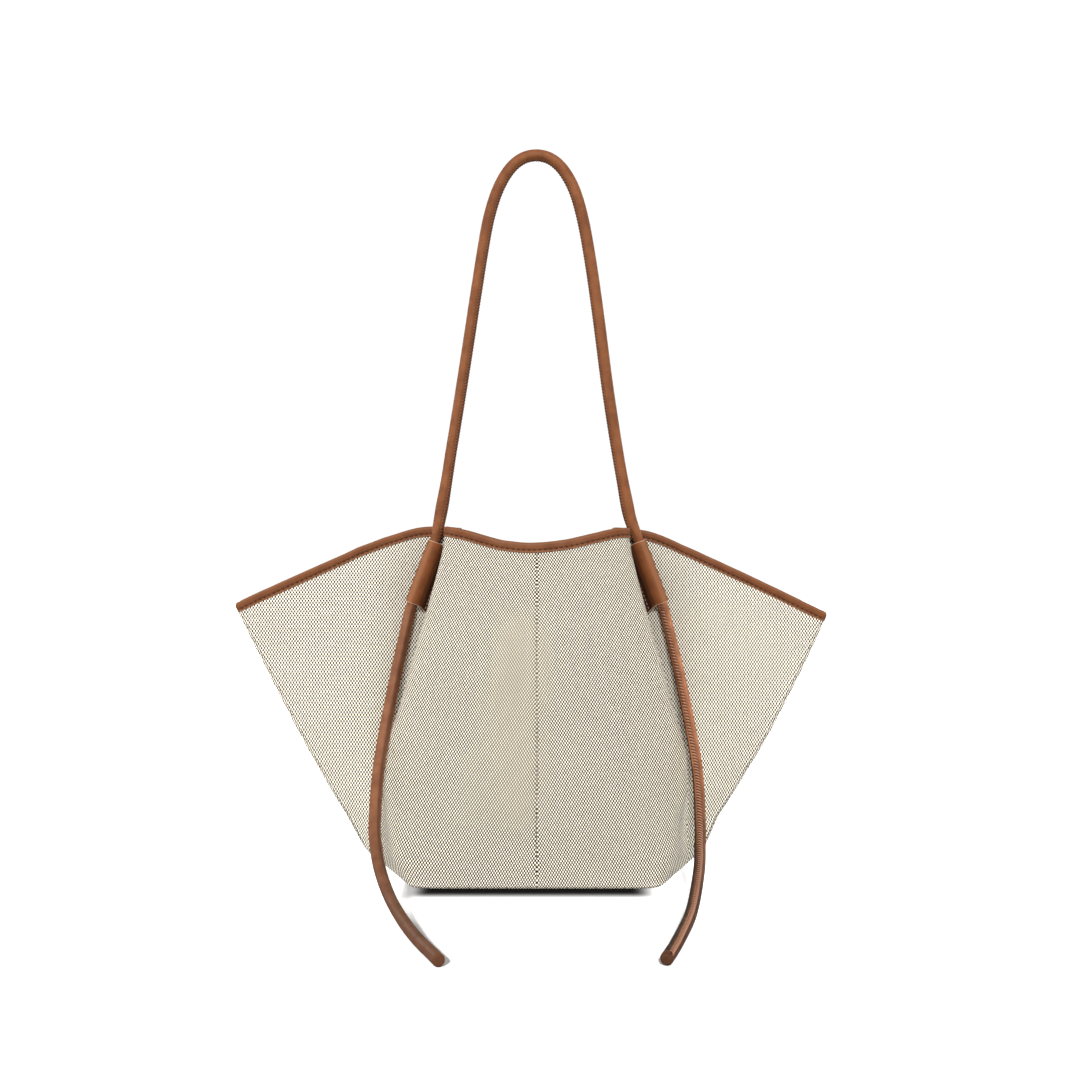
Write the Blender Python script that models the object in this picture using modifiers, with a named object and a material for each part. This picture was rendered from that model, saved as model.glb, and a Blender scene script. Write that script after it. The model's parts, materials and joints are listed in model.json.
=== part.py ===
"""Winged canvas tote bag with leather trim and one rolled shoulder strap.

The bag is a fan of four canvas panel halves over a boat-shaped base. Each face bulges between two upright
folds and turns back behind them, so a flat wing stands out at each side. A leather tunnel is sewn into
each front fold, and the strap runs down through both tunnels and ends in two free tails on the ground.

X runs to the viewer's right, the front is -Y, +Z is up, and the origin is the middle of the base on the
ground. Every length is in metres.
"""

from dataclasses import dataclass
from math import cos, pi, radians, sin, sqrt

import bmesh
import bpy
from mathutils import Matrix, Vector
from mathutils.geometry import interpolate_bezier

# Clearances
SEAT_GAP = 0.0003
BINDING_GAP = 0.00025
STRAP_CLEARANCE = 0.00035

# Sheet materials
CANVAS = 0.0014
BINDING_LEATHER = 0.0010
TUNNEL_LEATHER = 0.0012
STRAP_LEATHER = 0.0014
BOARD = 0.0020

# Base: a flat middle whose slanted ends rise to the wings' lower corners
BASE_LENGTH = 0.206
BASE_DEPTH = 0.110
BASE_ROLL = 0.008
CORNER_REACH = 0.142
CORNER_RISE = 0.017
CORNER_ROLL = 0.002
BOARD_MARGIN = 0.003
BOARD_CORNER = 0.012

# Belly: where the panels swell most
BELLY_HEIGHT = 0.084
BELLY_DEPTH = 0.062
BELLY_REACH = 0.1293
BELLY_FOLD = 0.034
BELLY_STAND = 0.015
BELLY_EDGE_HEIGHT = 0.062

# Waist: halfway up
WAIST_HEIGHT = 0.163
WAIST_DEPTH = 0.057
WAIST_REACH = 0.1113
WAIST_FOLD = 0.031
WAIST_STAND = 0.009
WAIST_EDGE_HEIGHT = 0.118

# Chest: level with the tunnels' lower ends
CHEST_HEIGHT = 0.231
CHEST_DEPTH = 0.049
CHEST_REACH = 0.0925
CHEST_FOLD = 0.028
CHEST_EDGE_HEIGHT = 0.178

# Neck: level with the tunnels' upper ends
NECK_HEIGHT = 0.277
NECK_CENTRE_HEIGHT = 0.268
NECK_DEPTH = 0.0425
NECK_REACH = 0.0805
NECK_FOLD = 0.025
NECK_EDGE_HEIGHT = 0.213

# Rim: the canvas edge inside the binding
RIM_DIP = 0.285
RIM_PEAK = 0.2994
RIM_DEPTH = 0.040
RIM_REACH = 0.0775
RIM_FOLD = 0.022

# Wings
WING_REACH = 0.2545
WING_TIP_HEIGHT = 0.229
WING_BOW = 0.0045
WING_STAND = 0.005
WING_TURN = 0.030
WING_TURN_ROUND = 0.015
FOLD_FULLNESS = 0.62
DIP_SPREAD = 1.25
ROOT_RADIUS = 0.0042
ROOT_TUCK = 0.006

# Binding
BINDING_DROP = 0.007
BINDING_CROWN = 0.0012
BINDING_FOOT = 0.009
BINDING_OVERHANG = 0.0006

# Tunnels
TUNNEL_LENGTH = 0.0565
TUNNEL_TILT = radians(20.5)
TUNNEL_FOOT_REACH = 0.1074
TUNNEL_FOOT_HEIGHT = 0.2346
TUNNEL_FLANGE = 0.015
TUNNEL_CREASE = 0.0006

# Strap
STRAP_DIAMETER = 0.009
STRAP_STEP = 0.020
STRAP_END_ROUND = 0.0014
STUB_BEND_RISE = 0.0036
ARCH_HINGE_CLEARANCE = 0.003
ARCH_FOOT_INSET = 0.0054
ARCH_DROP = 0.3129
ARCH_LIMB_LEAN = 0.0362
ARCH_LIMB_RISE = 0.1710
ARCH_CROWN_HANDLE = 0.0538
TAIL_HINGE_DROP = 0.0050

# Free tails, from below the tunnel to the tip on the ground
TAIL_LEFT_ROUTE = (
    (-0.1207, -0.0240, 0.1738),
    (-0.1315, -0.0500, 0.1053),
    (-0.1317, -0.0850, 0.0620),
    (-0.1286, -0.1050, 0.0460),
    (-0.1221, -0.1300, 0.0310),
    (-0.1088, -0.1680, 0.0164),
    (-0.0890, -0.2220, 0.0080),
    (-0.0656, -0.2790, 0.0047),
)
TAIL_RIGHT_ROUTE = (
    (0.1229, -0.0240, 0.1678),
    (0.1330, -0.0520, 0.1022),
    (0.1323, -0.0850, 0.0620),
    (0.1301, -0.1050, 0.0460),
    (0.1263, -0.1320, 0.0315),
    (0.1150, -0.1850, 0.0138),
    (0.0990, -0.2420, 0.0070),
    (0.0879, -0.2770, 0.0047),
)

# Mesh density
FRONT_STEPS = 10
CORNER_STEP = 6
WALL_STEPS = 3
ROOT_STEPS = 3
WING_STEPS = 5
TUBE_RESOLUTION = 3
DOME_SHARES = (0.92, 0.72, 0.40)

# Worked out from the sizes above
SEAM_LEVEL = CANVAS / 2
WING_EDGE_STAND = CANVAS / 2 + SEAT_GAP / 2
BINDING_SLOT = CANVAS / 2 + BINDING_GAP
BINDING_HALF = BINDING_SLOT + BINDING_LEATHER
TIP_STAND = BINDING_HALF + SEAT_GAP
STRAP_RADIUS = STRAP_DIAMETER / 2
CORE_RADIUS = STRAP_RADIUS - STRAP_LEATHER - SEAT_GAP
TUNNEL_BORE = STRAP_RADIUS + STRAP_CLEARANCE
TUNNEL_RADIUS = TUNNEL_BORE + TUNNEL_LEATHER
TUNNEL_STAND = WING_STAND + CANVAS / 2 + SEAT_GAP + TUNNEL_RADIUS
ARCH_HINGE = RIM_PEAK + BINDING_CROWN + STRAP_RADIUS + ARCH_HINGE_CLEARANCE
ARCH_FOOT_REACH = TUNNEL_FOOT_REACH - TUNNEL_LENGTH * sin(TUNNEL_TILT) - ARCH_FOOT_INSET


@dataclass
class Level:
    """One height of a panel half, from the centre seam out to the side seam.

    Depths and stands are distances from the mid-plane, and reaches are distances from the centre seam.
    """

    centre_height: float
    fold_height: float
    edge_height: float
    centre_depth: float
    fold_reach: float
    fold_depth: float
    stand: float = WING_STAND
    edge_stand: float = WING_EDGE_STAND


BELLY = Level(
    BELLY_HEIGHT, BELLY_HEIGHT, BELLY_EDGE_HEIGHT, BELLY_DEPTH, BELLY_REACH, BELLY_FOLD, BELLY_STAND
)
WAIST = Level(
    WAIST_HEIGHT, WAIST_HEIGHT, WAIST_EDGE_HEIGHT, WAIST_DEPTH, WAIST_REACH, WAIST_FOLD, WAIST_STAND
)
CHEST = Level(CHEST_HEIGHT, CHEST_HEIGHT, CHEST_EDGE_HEIGHT, CHEST_DEPTH, CHEST_REACH, CHEST_FOLD)
NECK = Level(
    NECK_CENTRE_HEIGHT, NECK_HEIGHT, NECK_EDGE_HEIGHT, NECK_DEPTH, NECK_REACH, NECK_FOLD, WING_STAND, TIP_STAND
)
RIM = Level(RIM_DIP, RIM_PEAK, WING_TIP_HEIGHT, RIM_DEPTH, RIM_REACH, RIM_FOLD, WING_STAND, TIP_STAND)


def clear_scene():
    """Remove every object, so that the script starts from an empty file."""
    for obj in list(bpy.data.objects):
        bpy.data.objects.remove(obj, do_unlink=True)


def new_collection(name):
    """Return a new collection linked to the scene."""
    collection = bpy.data.collections.new(name)
    bpy.context.scene.collection.children.link(collection)
    return collection


def material(name, colour, roughness):
    """Return a non-metallic Principled material."""
    made = bpy.data.materials.new(name)
    made.use_nodes = True
    shader = made.node_tree.nodes["Principled BSDF"]
    shader.inputs["Base Color"].default_value = (*colour, 1.0)
    shader.inputs["Roughness"].default_value = roughness
    shader.inputs["Metallic"].default_value = 0.0
    made.diffuse_color = (*colour, 1.0)
    return made


def add_object(name, mesh, collection, finish, origin=None):
    """Put a mesh into the collection as a named, smooth-shaded object with its origin at a point."""
    mesh.name = name
    mesh.materials.clear()
    mesh.materials.append(finish)
    mesh.shade_smooth()
    mesh.set_sharp_from_angle(angle=radians(40))
    obj = bpy.data.objects.new(name, mesh)
    if origin is not None:
        mesh.transform(Matrix.Translation(-origin))
        obj.location = origin
    collection.objects.link(obj)
    return obj


def grid_mesh(name, rows, flip):
    """Skin a list of equally long rows of points, turning the faces over when flip is true."""
    width = len(rows[0])
    vertices = [point for row in rows for point in row]
    faces = []
    for upper in range(1, len(rows)):
        for column in range(1, width):
            low = (upper - 1) * width + column
            high = upper * width + column
            face = (low - 1, low, high, high - 1)
            faces.append(face[::-1] if flip else face)
    mesh = bpy.data.meshes.new(name)
    mesh.from_pydata(vertices, [], faces)
    return mesh


def catmull_rom(before, start, end, after, share):
    """Return the point at a share of the way from start to end on a smooth curve."""
    return 0.5 * (
        2 * start
        + (end - before) * share
        + (2 * before - 5 * start + 4 * end - after) * share**2
        + (3 * start - before - 3 * end + after) * share**3
    )


def along(points, position):
    """Read a smooth curve through the points at a position such as 2.5, halfway from the third on."""
    span = min(int(position), len(points) - 2)
    before = points[span - 1] if span else 2 * points[0] - points[1]
    after = points[span + 2] if span + 2 < len(points) else 2 * points[-1] - points[-2]
    return catmull_rom(before, points[span], points[span + 1], after, position - span)


def resample(points, step):
    """Return points about one step apart along a smooth curve through the given points."""
    dense = [along(points, i / 40) for i in range(40 * (len(points) - 1) + 1)]
    travelled = [0.0]
    for previous, point in zip(dense, dense[1:]):
        travelled.append(travelled[-1] + (point - previous).length)
    count = max(2, round(travelled[-1] / step))
    picked = []
    index = 0
    for i in range(count + 1):
        target = travelled[-1] * i / count
        while index < len(dense) - 2 and travelled[index + 1] < target:
            index += 1
        reach = travelled[index + 1] - travelled[index]
        share = (target - travelled[index]) / reach
        picked.append(dense[index].lerp(dense[index + 1], share))
    return picked


def flange_inner_reach(height):
    """Return how far out the tunnel's sewn edge lies at a height, along its slanted line."""
    foot_reach = TUNNEL_FOOT_REACH - TUNNEL_FLANGE * cos(TUNNEL_TILT)
    foot_height = TUNNEL_FOOT_HEIGHT - TUNNEL_FLANGE * sin(TUNNEL_TILT)
    return foot_reach - (height - foot_height) * sin(TUNNEL_TILT) / cos(TUNNEL_TILT)


def root_reach(level):
    """Return where the wing starts: at the tunnel's sewn edge, or close behind the fold."""
    sewn = flange_inner_reach(level.fold_height)
    return min(max(sewn, level.fold_reach - ROOT_TUCK), level.fold_reach)


def wing_edge(height):
    """Return the side seam's reach at a height: a straight line with a slight outward bow."""
    share = (height - CORNER_RISE) / (WING_TIP_HEIGHT - CORNER_RISE)
    return CORNER_REACH + (WING_REACH - CORNER_REACH) * share + 4 * WING_BOW * share * (1 - share)


def soft_ramp(distance):
    """Return zero well before the turn and the distance itself well after it."""
    return 0.5 * (distance + sqrt(distance**2 + WING_TURN_ROUND**2))


def wing_fall(reach, start, end):
    """Return the share of its fall that the wing's line has made at a reach."""
    turn = start + WING_TURN * (end - start) / (WING_REACH - RIM_REACH)
    fall = soft_ramp(reach - turn) - soft_ramp(start - turn)
    return fall / (soft_ramp(end - turn) - soft_ramp(start - turn))


def plan_bezier(start, start_handle, end_handle, end, count):
    """Return count + 1 points of a curve in plan, given as (reach, depth) pairs."""
    knots = [Vector(pair) for pair in (start, start_handle, end_handle, end)]
    return interpolate_bezier(*knots, count + 1)


def level_section(level):
    """Return one level's points: the bulging front, the side wall behind the fold, and the wing."""
    fold = (level.fold_reach, level.fold_depth)
    bulge = level.centre_depth - level.fold_depth
    front = plan_bezier(
        (0.0, level.centre_depth),
        (level.fold_reach * FOLD_FULLNESS, level.centre_depth),
        (level.fold_reach, level.fold_depth + bulge * FOLD_FULLNESS),
        fold,
        FRONT_STEPS,
    )
    start = root_reach(level)
    wall_foot = (start - ROOT_RADIUS, level.stand + ROOT_RADIUS)
    halfway = (level.fold_depth + wall_foot[1]) / 2
    wall = plan_bezier(fold, (fold[0], halfway), (wall_foot[0], halfway), wall_foot, WALL_STEPS)
    root = []
    for i in range(1, ROOT_STEPS + 1):
        angle = i / ROOT_STEPS * pi / 2
        root.append((start - ROOT_RADIUS * cos(angle), wall_foot[1] - ROOT_RADIUS * sin(angle)))
    points = []
    for reach, depth in front:
        rise = 0.5 - 0.5 * cos(pi * (reach / level.fold_reach) ** DIP_SPREAD)
        height = level.centre_height + (level.fold_height - level.centre_height) * rise
        points.append(Vector((reach, -depth, height)))
    for reach, depth in wall[1:] + root:
        points.append(Vector((reach, -depth, level.fold_height)))
    end = wing_edge(level.edge_height)
    for i in range(1, WING_STEPS + 1):
        share = i / WING_STEPS
        reach = start + (end - start) * share
        depth = level.edge_stand + (level.stand - level.edge_stand) * (1 - share**2)
        fall = wing_fall(reach, start, end)
        height = level.fold_height + (level.edge_height - level.fold_height) * fall
        points.append(Vector((reach, -depth, height)))
    return points


def base_outline(inset_front, inset_corner):
    """Return the base's edge as three points: front middle, front corner and wing tip, drawn in."""
    corner = Vector((BASE_LENGTH / 2, -BASE_DEPTH / 2))
    tip = Vector((CORNER_REACH, 0.0))
    slant = (tip - corner).normalized()
    inward = Vector((-slant.y, slant.x))
    shifted = corner + inward * inset_corner
    front = -BASE_DEPTH / 2 + inset_front
    corner_in = shifted + slant * ((front - shifted.y) / slant.y)
    tip_in = shifted + slant * (-shifted.y / slant.y)
    return Vector((0.0, front)), corner_in, tip_in


def floor_row(roll_share):
    """Return the panel's row along the base: roll_share 0 at the base seam, 1 at the wall's foot."""
    draw_in = 1 - sin(roll_share * pi / 2)
    lift = 1 - cos(roll_share * pi / 2)
    middle, corner, tip = base_outline(BASE_ROLL * draw_in, CORNER_ROLL * draw_in)
    last = FRONT_STEPS + WALL_STEPS + ROOT_STEPS + WING_STEPS
    points = []
    for i in range(last + 1):
        if i <= CORNER_STEP:
            place = middle.lerp(corner, i / CORNER_STEP)
            rise = 0.0
        else:
            rise = (i - CORNER_STEP) / (last - CORNER_STEP)
            place = corner.lerp(tip, rise)
        roll = BASE_ROLL if i < CORNER_STEP else CORNER_ROLL
        depth = max(-place.y, WING_EDGE_STAND)
        height = SEAM_LEVEL + CORNER_RISE * rise + roll * lift
        points.append(Vector((place.x, -depth, height)))
    return points


def panel_rows():
    """Return the rows of one panel half, from the base seam up to the rim."""
    levels = [floor_row(1.0)] + [level_section(level) for level in (BELLY, WAIST, CHEST, NECK, RIM)]
    columns = list(zip(*levels))
    neck_to_rim = sum((column[-1] - column[-2]).length for column in columns) / len(columns)
    foot = 5 - BINDING_FOOT / neck_to_rim
    positions = (0, 1 / 3, 2 / 3, 1, 1.5, 2, 2.5, 3, 3.5, 4, foot, 5)
    rows = [floor_row(0.0), floor_row(0.5)]
    for position in positions:
        rows.append([along(column, position) for column in columns])
    return rows


def turned(point, side, face):
    """Turn a front right point to another quarter: side -1 is left, and face -1 is the rear."""
    return Vector((side * point.x, face * point.y, point.z))


def canvas_panel(name, side, face, rows, collection, finish):
    """Make one panel half, with half a seam gap to its neighbour across the centre."""
    seam = Vector((SEAT_GAP / 2, 0.0, 0.0))
    shifted = [[row[0] + seam] + row[1:] for row in rows]
    quarter = [[turned(point, side, face) for point in row] for row in shifted]
    mesh = grid_mesh(name, quarter, flip=side * face < 0)
    panel = add_object(name, mesh, collection, finish)
    wall = panel.modifiers.new("canvas", "SOLIDIFY")
    wall.thickness = CANVAS
    wall.offset = 0.0
    return panel


def plate(name, outline, bottom, thickness, collection, finish):
    """Make a flat plate from its outline, lying between bottom and bottom + thickness."""
    mesh = bpy.data.meshes.new(name)
    shape = bmesh.new()
    corners = [shape.verts.new((x, y, bottom)) for x, y in outline]
    face = shape.faces.new(corners)
    made = bmesh.ops.extrude_face_region(shape, geom=[face])
    lifted = [item for item in made["geom"] if isinstance(item, bmesh.types.BMVert)]
    bmesh.ops.translate(shape, verts=lifted, vec=(0.0, 0.0, thickness))
    bmesh.ops.recalc_face_normals(shape, faces=shape.faces)
    shape.to_mesh(mesh)
    shape.free()
    return add_object(name, mesh, collection, finish)


def canvas_base(collection, finish):
    """Make the base: a flat rectangle with a triangle at each end rising to the wing's corner."""
    _, corner, tip = base_outline(BASE_ROLL, CORNER_ROLL)
    slant = (tip - corner).normalized()
    corner = corner + Vector((-SEAT_GAP * 2, SEAT_GAP))
    tip = tip - Vector((SEAT_GAP * (2 + slant.y / slant.x), 0.0))
    rise = CORNER_RISE * (tip.x - corner.x) / (CORNER_REACH - corner.x)
    corners = [(corner.x, corner.y, 0.0), (corner.x, -corner.y, 0.0), (tip.x, 0.0, rise)]
    vertices = [Vector(place) for place in corners]
    vertices += [Vector((-x, y, z)) for x, y, z in corners]
    faces = [(0, 2, 1), (3, 4, 5), (0, 1, 4, 3)]
    mesh = bpy.data.meshes.new("canvas_base")
    mesh.from_pydata(vertices, [], faces)
    base = add_object("canvas_base", mesh, collection, finish)
    wall = base.modifiers.new("canvas", "SOLIDIFY")
    wall.thickness = CANVAS
    wall.offset = 1.0
    return base


def base_board(collection, finish):
    """Make the stiffening board that lies on the base's flat middle, with rounded corners."""
    _, corner, _ = base_outline(BASE_ROLL, CORNER_ROLL)
    half_length = corner.x - BOARD_MARGIN
    half_depth = -corner.y - BOARD_MARGIN
    outline = []
    for quarter in range(4):
        sign_x = (1, -1, -1, 1)[quarter]
        sign_y = (1, 1, -1, -1)[quarter]
        centre_x = sign_x * (half_length - BOARD_CORNER)
        centre_y = sign_y * (half_depth - BOARD_CORNER)
        for i in range(5):
            angle = (quarter + i / 4) * pi / 2
            outline.append((centre_x + BOARD_CORNER * cos(angle), centre_y + BOARD_CORNER * sin(angle)))
    return plate("base_board", outline, CANVAS + SEAT_GAP, BOARD, collection, finish)


def binding_profile():
    """Return the binding's section as (sideways, downward) pairs, once round from the front lip."""
    half = BINDING_HALF
    crown = BINDING_CROWN
    outer = [(-half, BINDING_DROP), (-half, BINDING_DROP / 2), (-half, 0.0)]
    outer += [(-half * cos(a), -crown * sin(a)) for a in (pi / 6, pi / 3, pi / 2, 2 * pi / 3, 5 * pi / 6)]
    outer += [(half, 0.0), (half, BINDING_DROP / 2), (half, BINDING_DROP)]
    slot = BINDING_SLOT
    inner = [(slot, BINDING_DROP), (slot, -BINDING_GAP), (-slot, -BINDING_GAP), (-slot, BINDING_DROP)]
    return outer + inner


def rim_binding(name, face, rows, collection, finish):
    """Make the leather strip folded over one face's rim, from wing tip to wing tip."""
    rim = [turned(point, -1, face) for point in rows[-1][:0:-1]] + [turned(p, 1, face) for p in rows[-1]]
    foot = [turned(point, -1, face) for point in rows[-2][:0:-1]] + [turned(p, 1, face) for p in rows[-2]]
    rings = []
    for i, (top, low) in enumerate(zip(rim, foot)):
        ahead = rim[min(i + 1, len(rim) - 1)] - rim[max(i - 1, 0)]
        down = (low - top).normalized()
        sideways = down.cross(ahead).normalized() * face
        rings.append([top + sideways * across + down * drop for across, drop in binding_profile()])
    for end, inner in ((0, 1), (-1, -2)):
        outward = (rim[end] - rim[inner]).normalized() * BINDING_OVERHANG
        rings[end] = [point + outward for point in rings[end]]
    count = len(rings[0])
    vertices = [point for ring in rings for point in ring]
    faces = []
    for ring in range(len(rings) - 1):
        for i in range(count):
            after = (i + 1) % count
            start = ring * count
            faces.append((start + i, start + after, start + count + after, start + count + i))
    faces.append(tuple(range(count))[::-1])
    faces.append(tuple(range(len(vertices) - count, len(vertices))))
    mesh = bpy.data.meshes.new(name)
    mesh.from_pydata(vertices, [], faces)
    tidy = bmesh.new()
    tidy.from_mesh(mesh)
    bmesh.ops.recalc_face_normals(tidy, faces=tidy.faces)
    tidy.to_mesh(mesh)
    tidy.free()
    return add_object(name, mesh, collection, finish)


def mesh_from_curve(curve_object):
    """Return a welded mesh of a curve object in world space, and remove the curve."""
    bpy.context.view_layer.update()
    evaluated = curve_object.evaluated_get(bpy.context.evaluated_depsgraph_get())
    mesh = bpy.data.meshes.new_from_object(evaluated)
    mesh.transform(curve_object.matrix_world)
    weld = bmesh.new()
    weld.from_mesh(mesh)
    bmesh.ops.remove_doubles(weld, verts=weld.verts, dist=0.000001)
    bmesh.ops.recalc_face_normals(weld, faces=weld.faces)
    weld.to_mesh(mesh)
    weld.free()
    bpy.data.objects.remove(curve_object, do_unlink=True)
    return mesh


def tunnel_outline(side):
    """Return the tunnel's outer outline in its own plane: tube, flat back and sewn flange."""
    radius = TUNNEL_RADIUS
    flange_front = radius - 2 * TUNNEL_LEATHER
    points = [(-TUNNEL_FLANGE, flange_front), (-TUNNEL_FLANGE, radius)]
    for i in range(13):
        angle = pi / 2 - i * pi / 12
        points.append((radius * cos(angle), radius * sin(angle)))
    for i in range(1, 5):
        angle = -pi / 2 - i * pi / 12
        points.append((radius * cos(angle), radius * sin(angle)))
    points.append((-radius, flange_front - TUNNEL_CREASE))
    points.append((-radius - TUNNEL_CREASE, flange_front))
    return [(side * x, y) for x, y in points]


def strap_tunnel(name, side, collection, finish):
    """Make the leather loop that holds the strap: folded round it and sewn into the fold."""
    curve = bpy.data.curves.new(name, "CURVE")
    curve.dimensions = "2D"
    curve.fill_mode = "BOTH"
    curve.extrude = TUNNEL_LENGTH / 2
    bore_radius = TUNNEL_BORE / cos(pi / 16)
    bore = [(bore_radius * cos(i * pi / 8), bore_radius * sin(i * pi / 8)) for i in range(16)]
    for outline in (tunnel_outline(side), bore):
        spline = curve.splines.new("POLY")
        spline.points.add(len(outline) - 1)
        for point, (x, y) in zip(spline.points, outline):
            point.co = (x, y, 0.0, 1.0)
        spline.use_cyclic_u = True
    guide = bpy.data.objects.new(name + "_outline", curve)
    bpy.context.scene.collection.objects.link(guide)
    middle = tunnel_foot(side) + tunnel_axis(side) * (TUNNEL_LENGTH / 2)
    guide.matrix_world = Matrix.Translation(middle) @ Matrix.Rotation(-side * TUNNEL_TILT, 4, "Y")
    return add_object(name, mesh_from_curve(guide), collection, finish)


def tunnel_axis(side):
    """Return the tunnel's upward direction, leaning in towards the centre."""
    return Vector((-side * sin(TUNNEL_TILT), 0.0, cos(TUNNEL_TILT)))


def tunnel_foot(side):
    """Return the centre of the tunnel's lower mouth."""
    return Vector((side * TUNNEL_FOOT_REACH, -TUNNEL_STAND, TUNNEL_FOOT_HEIGHT))


def arch_hinge(side):
    """Return the point above the rim about which one limb of the strap folds."""
    return Vector((side * ARCH_FOOT_REACH, -TUNNEL_STAND, ARCH_HINGE))


def tail_hinge(side):
    """Return the point below the tunnel's mouth about which a tail swings."""
    return tunnel_foot(side) - tunnel_axis(side) * TAIL_HINGE_DROP


def dome_rings(point, direction, radius):
    """Return the rings of a rounded end about a hinge point, outermost first: (place, radius)."""
    rings = []
    for share in DOME_SHARES:
        rings.append((point - direction * radius * share, radius * sqrt(1 - share**2)))
    return rings


def square_tip(route, radius):
    """Return the last rings of a cut end with rounded edges: (place, radius)."""
    tip = route[-1]
    direction = (tip - route[-2]).normalized()
    rings = []
    for i in range(3):
        angle = i * pi / 4
        back = STRAP_END_ROUND * (1 - sin(angle))
        rings.append((tip - direction * back, radius - STRAP_END_ROUND * (1 - cos(angle))))
    return rings


def tube_object(name, rings, sealed):
    """Return a curve object for a round tube through the rings, each a place and a radius."""
    curve = bpy.data.curves.new(name, "CURVE")
    curve.dimensions = "3D"
    curve.bevel_depth = STRAP_RADIUS
    curve.bevel_resolution = TUBE_RESOLUTION
    curve.use_fill_caps = sealed
    spline = curve.splines.new("POLY")
    spline.points.add(len(rings) - 1)
    for point, (place, radius) in zip(spline.points, rings):
        point.co = (*place, 1.0)
        point.radius = radius / STRAP_RADIUS
    tube = bpy.data.objects.new(name + "_route", curve)
    bpy.context.scene.collection.objects.link(tube)
    return tube


def leather_sleeve(name, rings, origin, collection, finish):
    """Make a stretch of the rolled leather: a tube with its wall turned inwards, open at both ends."""
    mesh = mesh_from_curve(tube_object(name, rings, sealed=False))
    sleeve = add_object(name, mesh, collection, finish, origin)
    wall = sleeve.modifiers.new("leather", "SOLIDIFY")
    wall.thickness = STRAP_LEATHER
    wall.offset = -1.0
    return sleeve


def cord_core(name, route, origin, collection, finish):
    """Make the cord inside a stretch of the strap."""
    rings = [(place, CORE_RADIUS) for place in route]
    mesh = mesh_from_curve(tube_object(name, rings, sealed=True))
    return add_object(name, mesh, collection, finish, origin)


def shortened(route, length):
    """Return the route with a length cut off at its end."""
    last = (route[-1] - route[-2]).normalized()
    return route[:-1] + [route[-1] - last * length]


def arch_limb(side):
    """Return the point that one limb of the arch sets out for from its hinge."""
    return arch_hinge(side) + Vector((-side * ARCH_LIMB_LEAN, 0.0, ARCH_LIMB_RISE))


def arch_half_route():
    """Return the strap's way from the right hinge point to the crown of its arch."""
    hinge = arch_hinge(1)
    crown = Vector((0.0, hinge.y, hinge.z + ARCH_DROP))
    crown_handle = crown + Vector((ARCH_CROWN_HANDLE, 0.0, 0.0))
    return resample(interpolate_bezier(hinge, arch_limb(1), crown_handle, crown, 12), STRAP_STEP)


def strap_arch(parts, leather, cord):
    """Make the shoulder loop above the rim, with a rounded end in each hinge."""
    right = arch_half_route()
    left = [turned(point, -1, 1) for point in right]
    route = left + right[-2::-1]
    start = (route[1] - route[0]).normalized()
    end = (route[-2] - route[-1]).normalized()
    rings = dome_rings(route[0], start, STRAP_RADIUS)
    rings += [(place, STRAP_RADIUS) for place in route]
    rings += dome_rings(route[-1], end, STRAP_RADIUS)[::-1]
    axis_point = Vector((0.0, route[0].y, route[0].z))
    leather_sleeve("strap_arch", rings, axis_point, parts, leather)
    cord_core("strap_arch_core", route, axis_point, parts, cord)


def strap_stub(name, side, parts, leather, cord):
    """Make the stretch of strap inside a tunnel, up to the arch's hinge."""
    hinge = arch_hinge(side)
    rise = (arch_limb(side) - hinge).normalized()
    foot = tunnel_foot(side) - tunnel_axis(side) * (TAIL_HINGE_DROP - STRAP_RADIUS - SEAT_GAP / 2)
    mouth = tunnel_foot(side) + tunnel_axis(side) * TUNNEL_LENGTH
    top = hinge - rise * (STRAP_RADIUS + SEAT_GAP / 2)
    bend = mouth + tunnel_axis(side) * STUB_BEND_RISE
    route = [foot, foot.lerp(mouth, 0.5), mouth, bend, bend.lerp(top, 0.5), top]
    leather_sleeve(name, [(place, STRAP_RADIUS) for place in route], foot, parts, leather)
    cord_core(name + "_core", route, foot, parts, cord)


def strap_tail(name, side, route_points, parts, leather, cord):
    """Make a free tail: a rounded end in its hinge, and a square cut tip on the ground."""
    route = resample([tail_hinge(side)] + [Vector(point) for point in route_points], STRAP_STEP)
    start = (route[1] - route[0]).normalized()
    rings = dome_rings(route[0], start, STRAP_RADIUS)
    rings += [(place, STRAP_RADIUS) for place in route[:-1]]
    rings += square_tip(route, STRAP_RADIUS)
    leather_sleeve(name, rings, route[0], parts, leather)
    cord_core(name + "_core", shortened(route, 2 * STRAP_LEATHER), route[0], parts, cord)


def build_tote():
    """Build every piece of the bag."""
    clear_scene()
    parts = new_collection("winged_tote")
    canvas = material("canvas", (0.76, 0.72, 0.60), 0.85)
    leather = material("leather", (0.36, 0.17, 0.09), 0.45)
    board = material("board", (0.12, 0.11, 0.10), 0.6)
    cord = material("cord", (0.70, 0.66, 0.58), 0.9)

    rows = panel_rows()
    for end, side in (("left", -1), ("right", 1)):
        canvas_panel("canvas_front_" + end, side, 1, rows, parts, canvas)
        canvas_panel("canvas_rear_" + end, side, -1, rows, parts, canvas)
        strap_tunnel("strap_tunnel_" + end, side, parts, leather)
        strap_stub("strap_stub_" + end, side, parts, leather, cord)
    canvas_base(parts, canvas)
    base_board(parts, board)
    rim_binding("binding_front", 1, rows, parts, leather)
    rim_binding("binding_rear", -1, rows, parts, leather)
    strap_arch(parts, leather, cord)
    strap_tail("strap_tail_left", -1, TAIL_LEFT_ROUTE, parts, leather, cord)
    strap_tail("strap_tail_right", 1, TAIL_RIGHT_ROUTE, parts, leather, cord)


build_tote()
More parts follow.
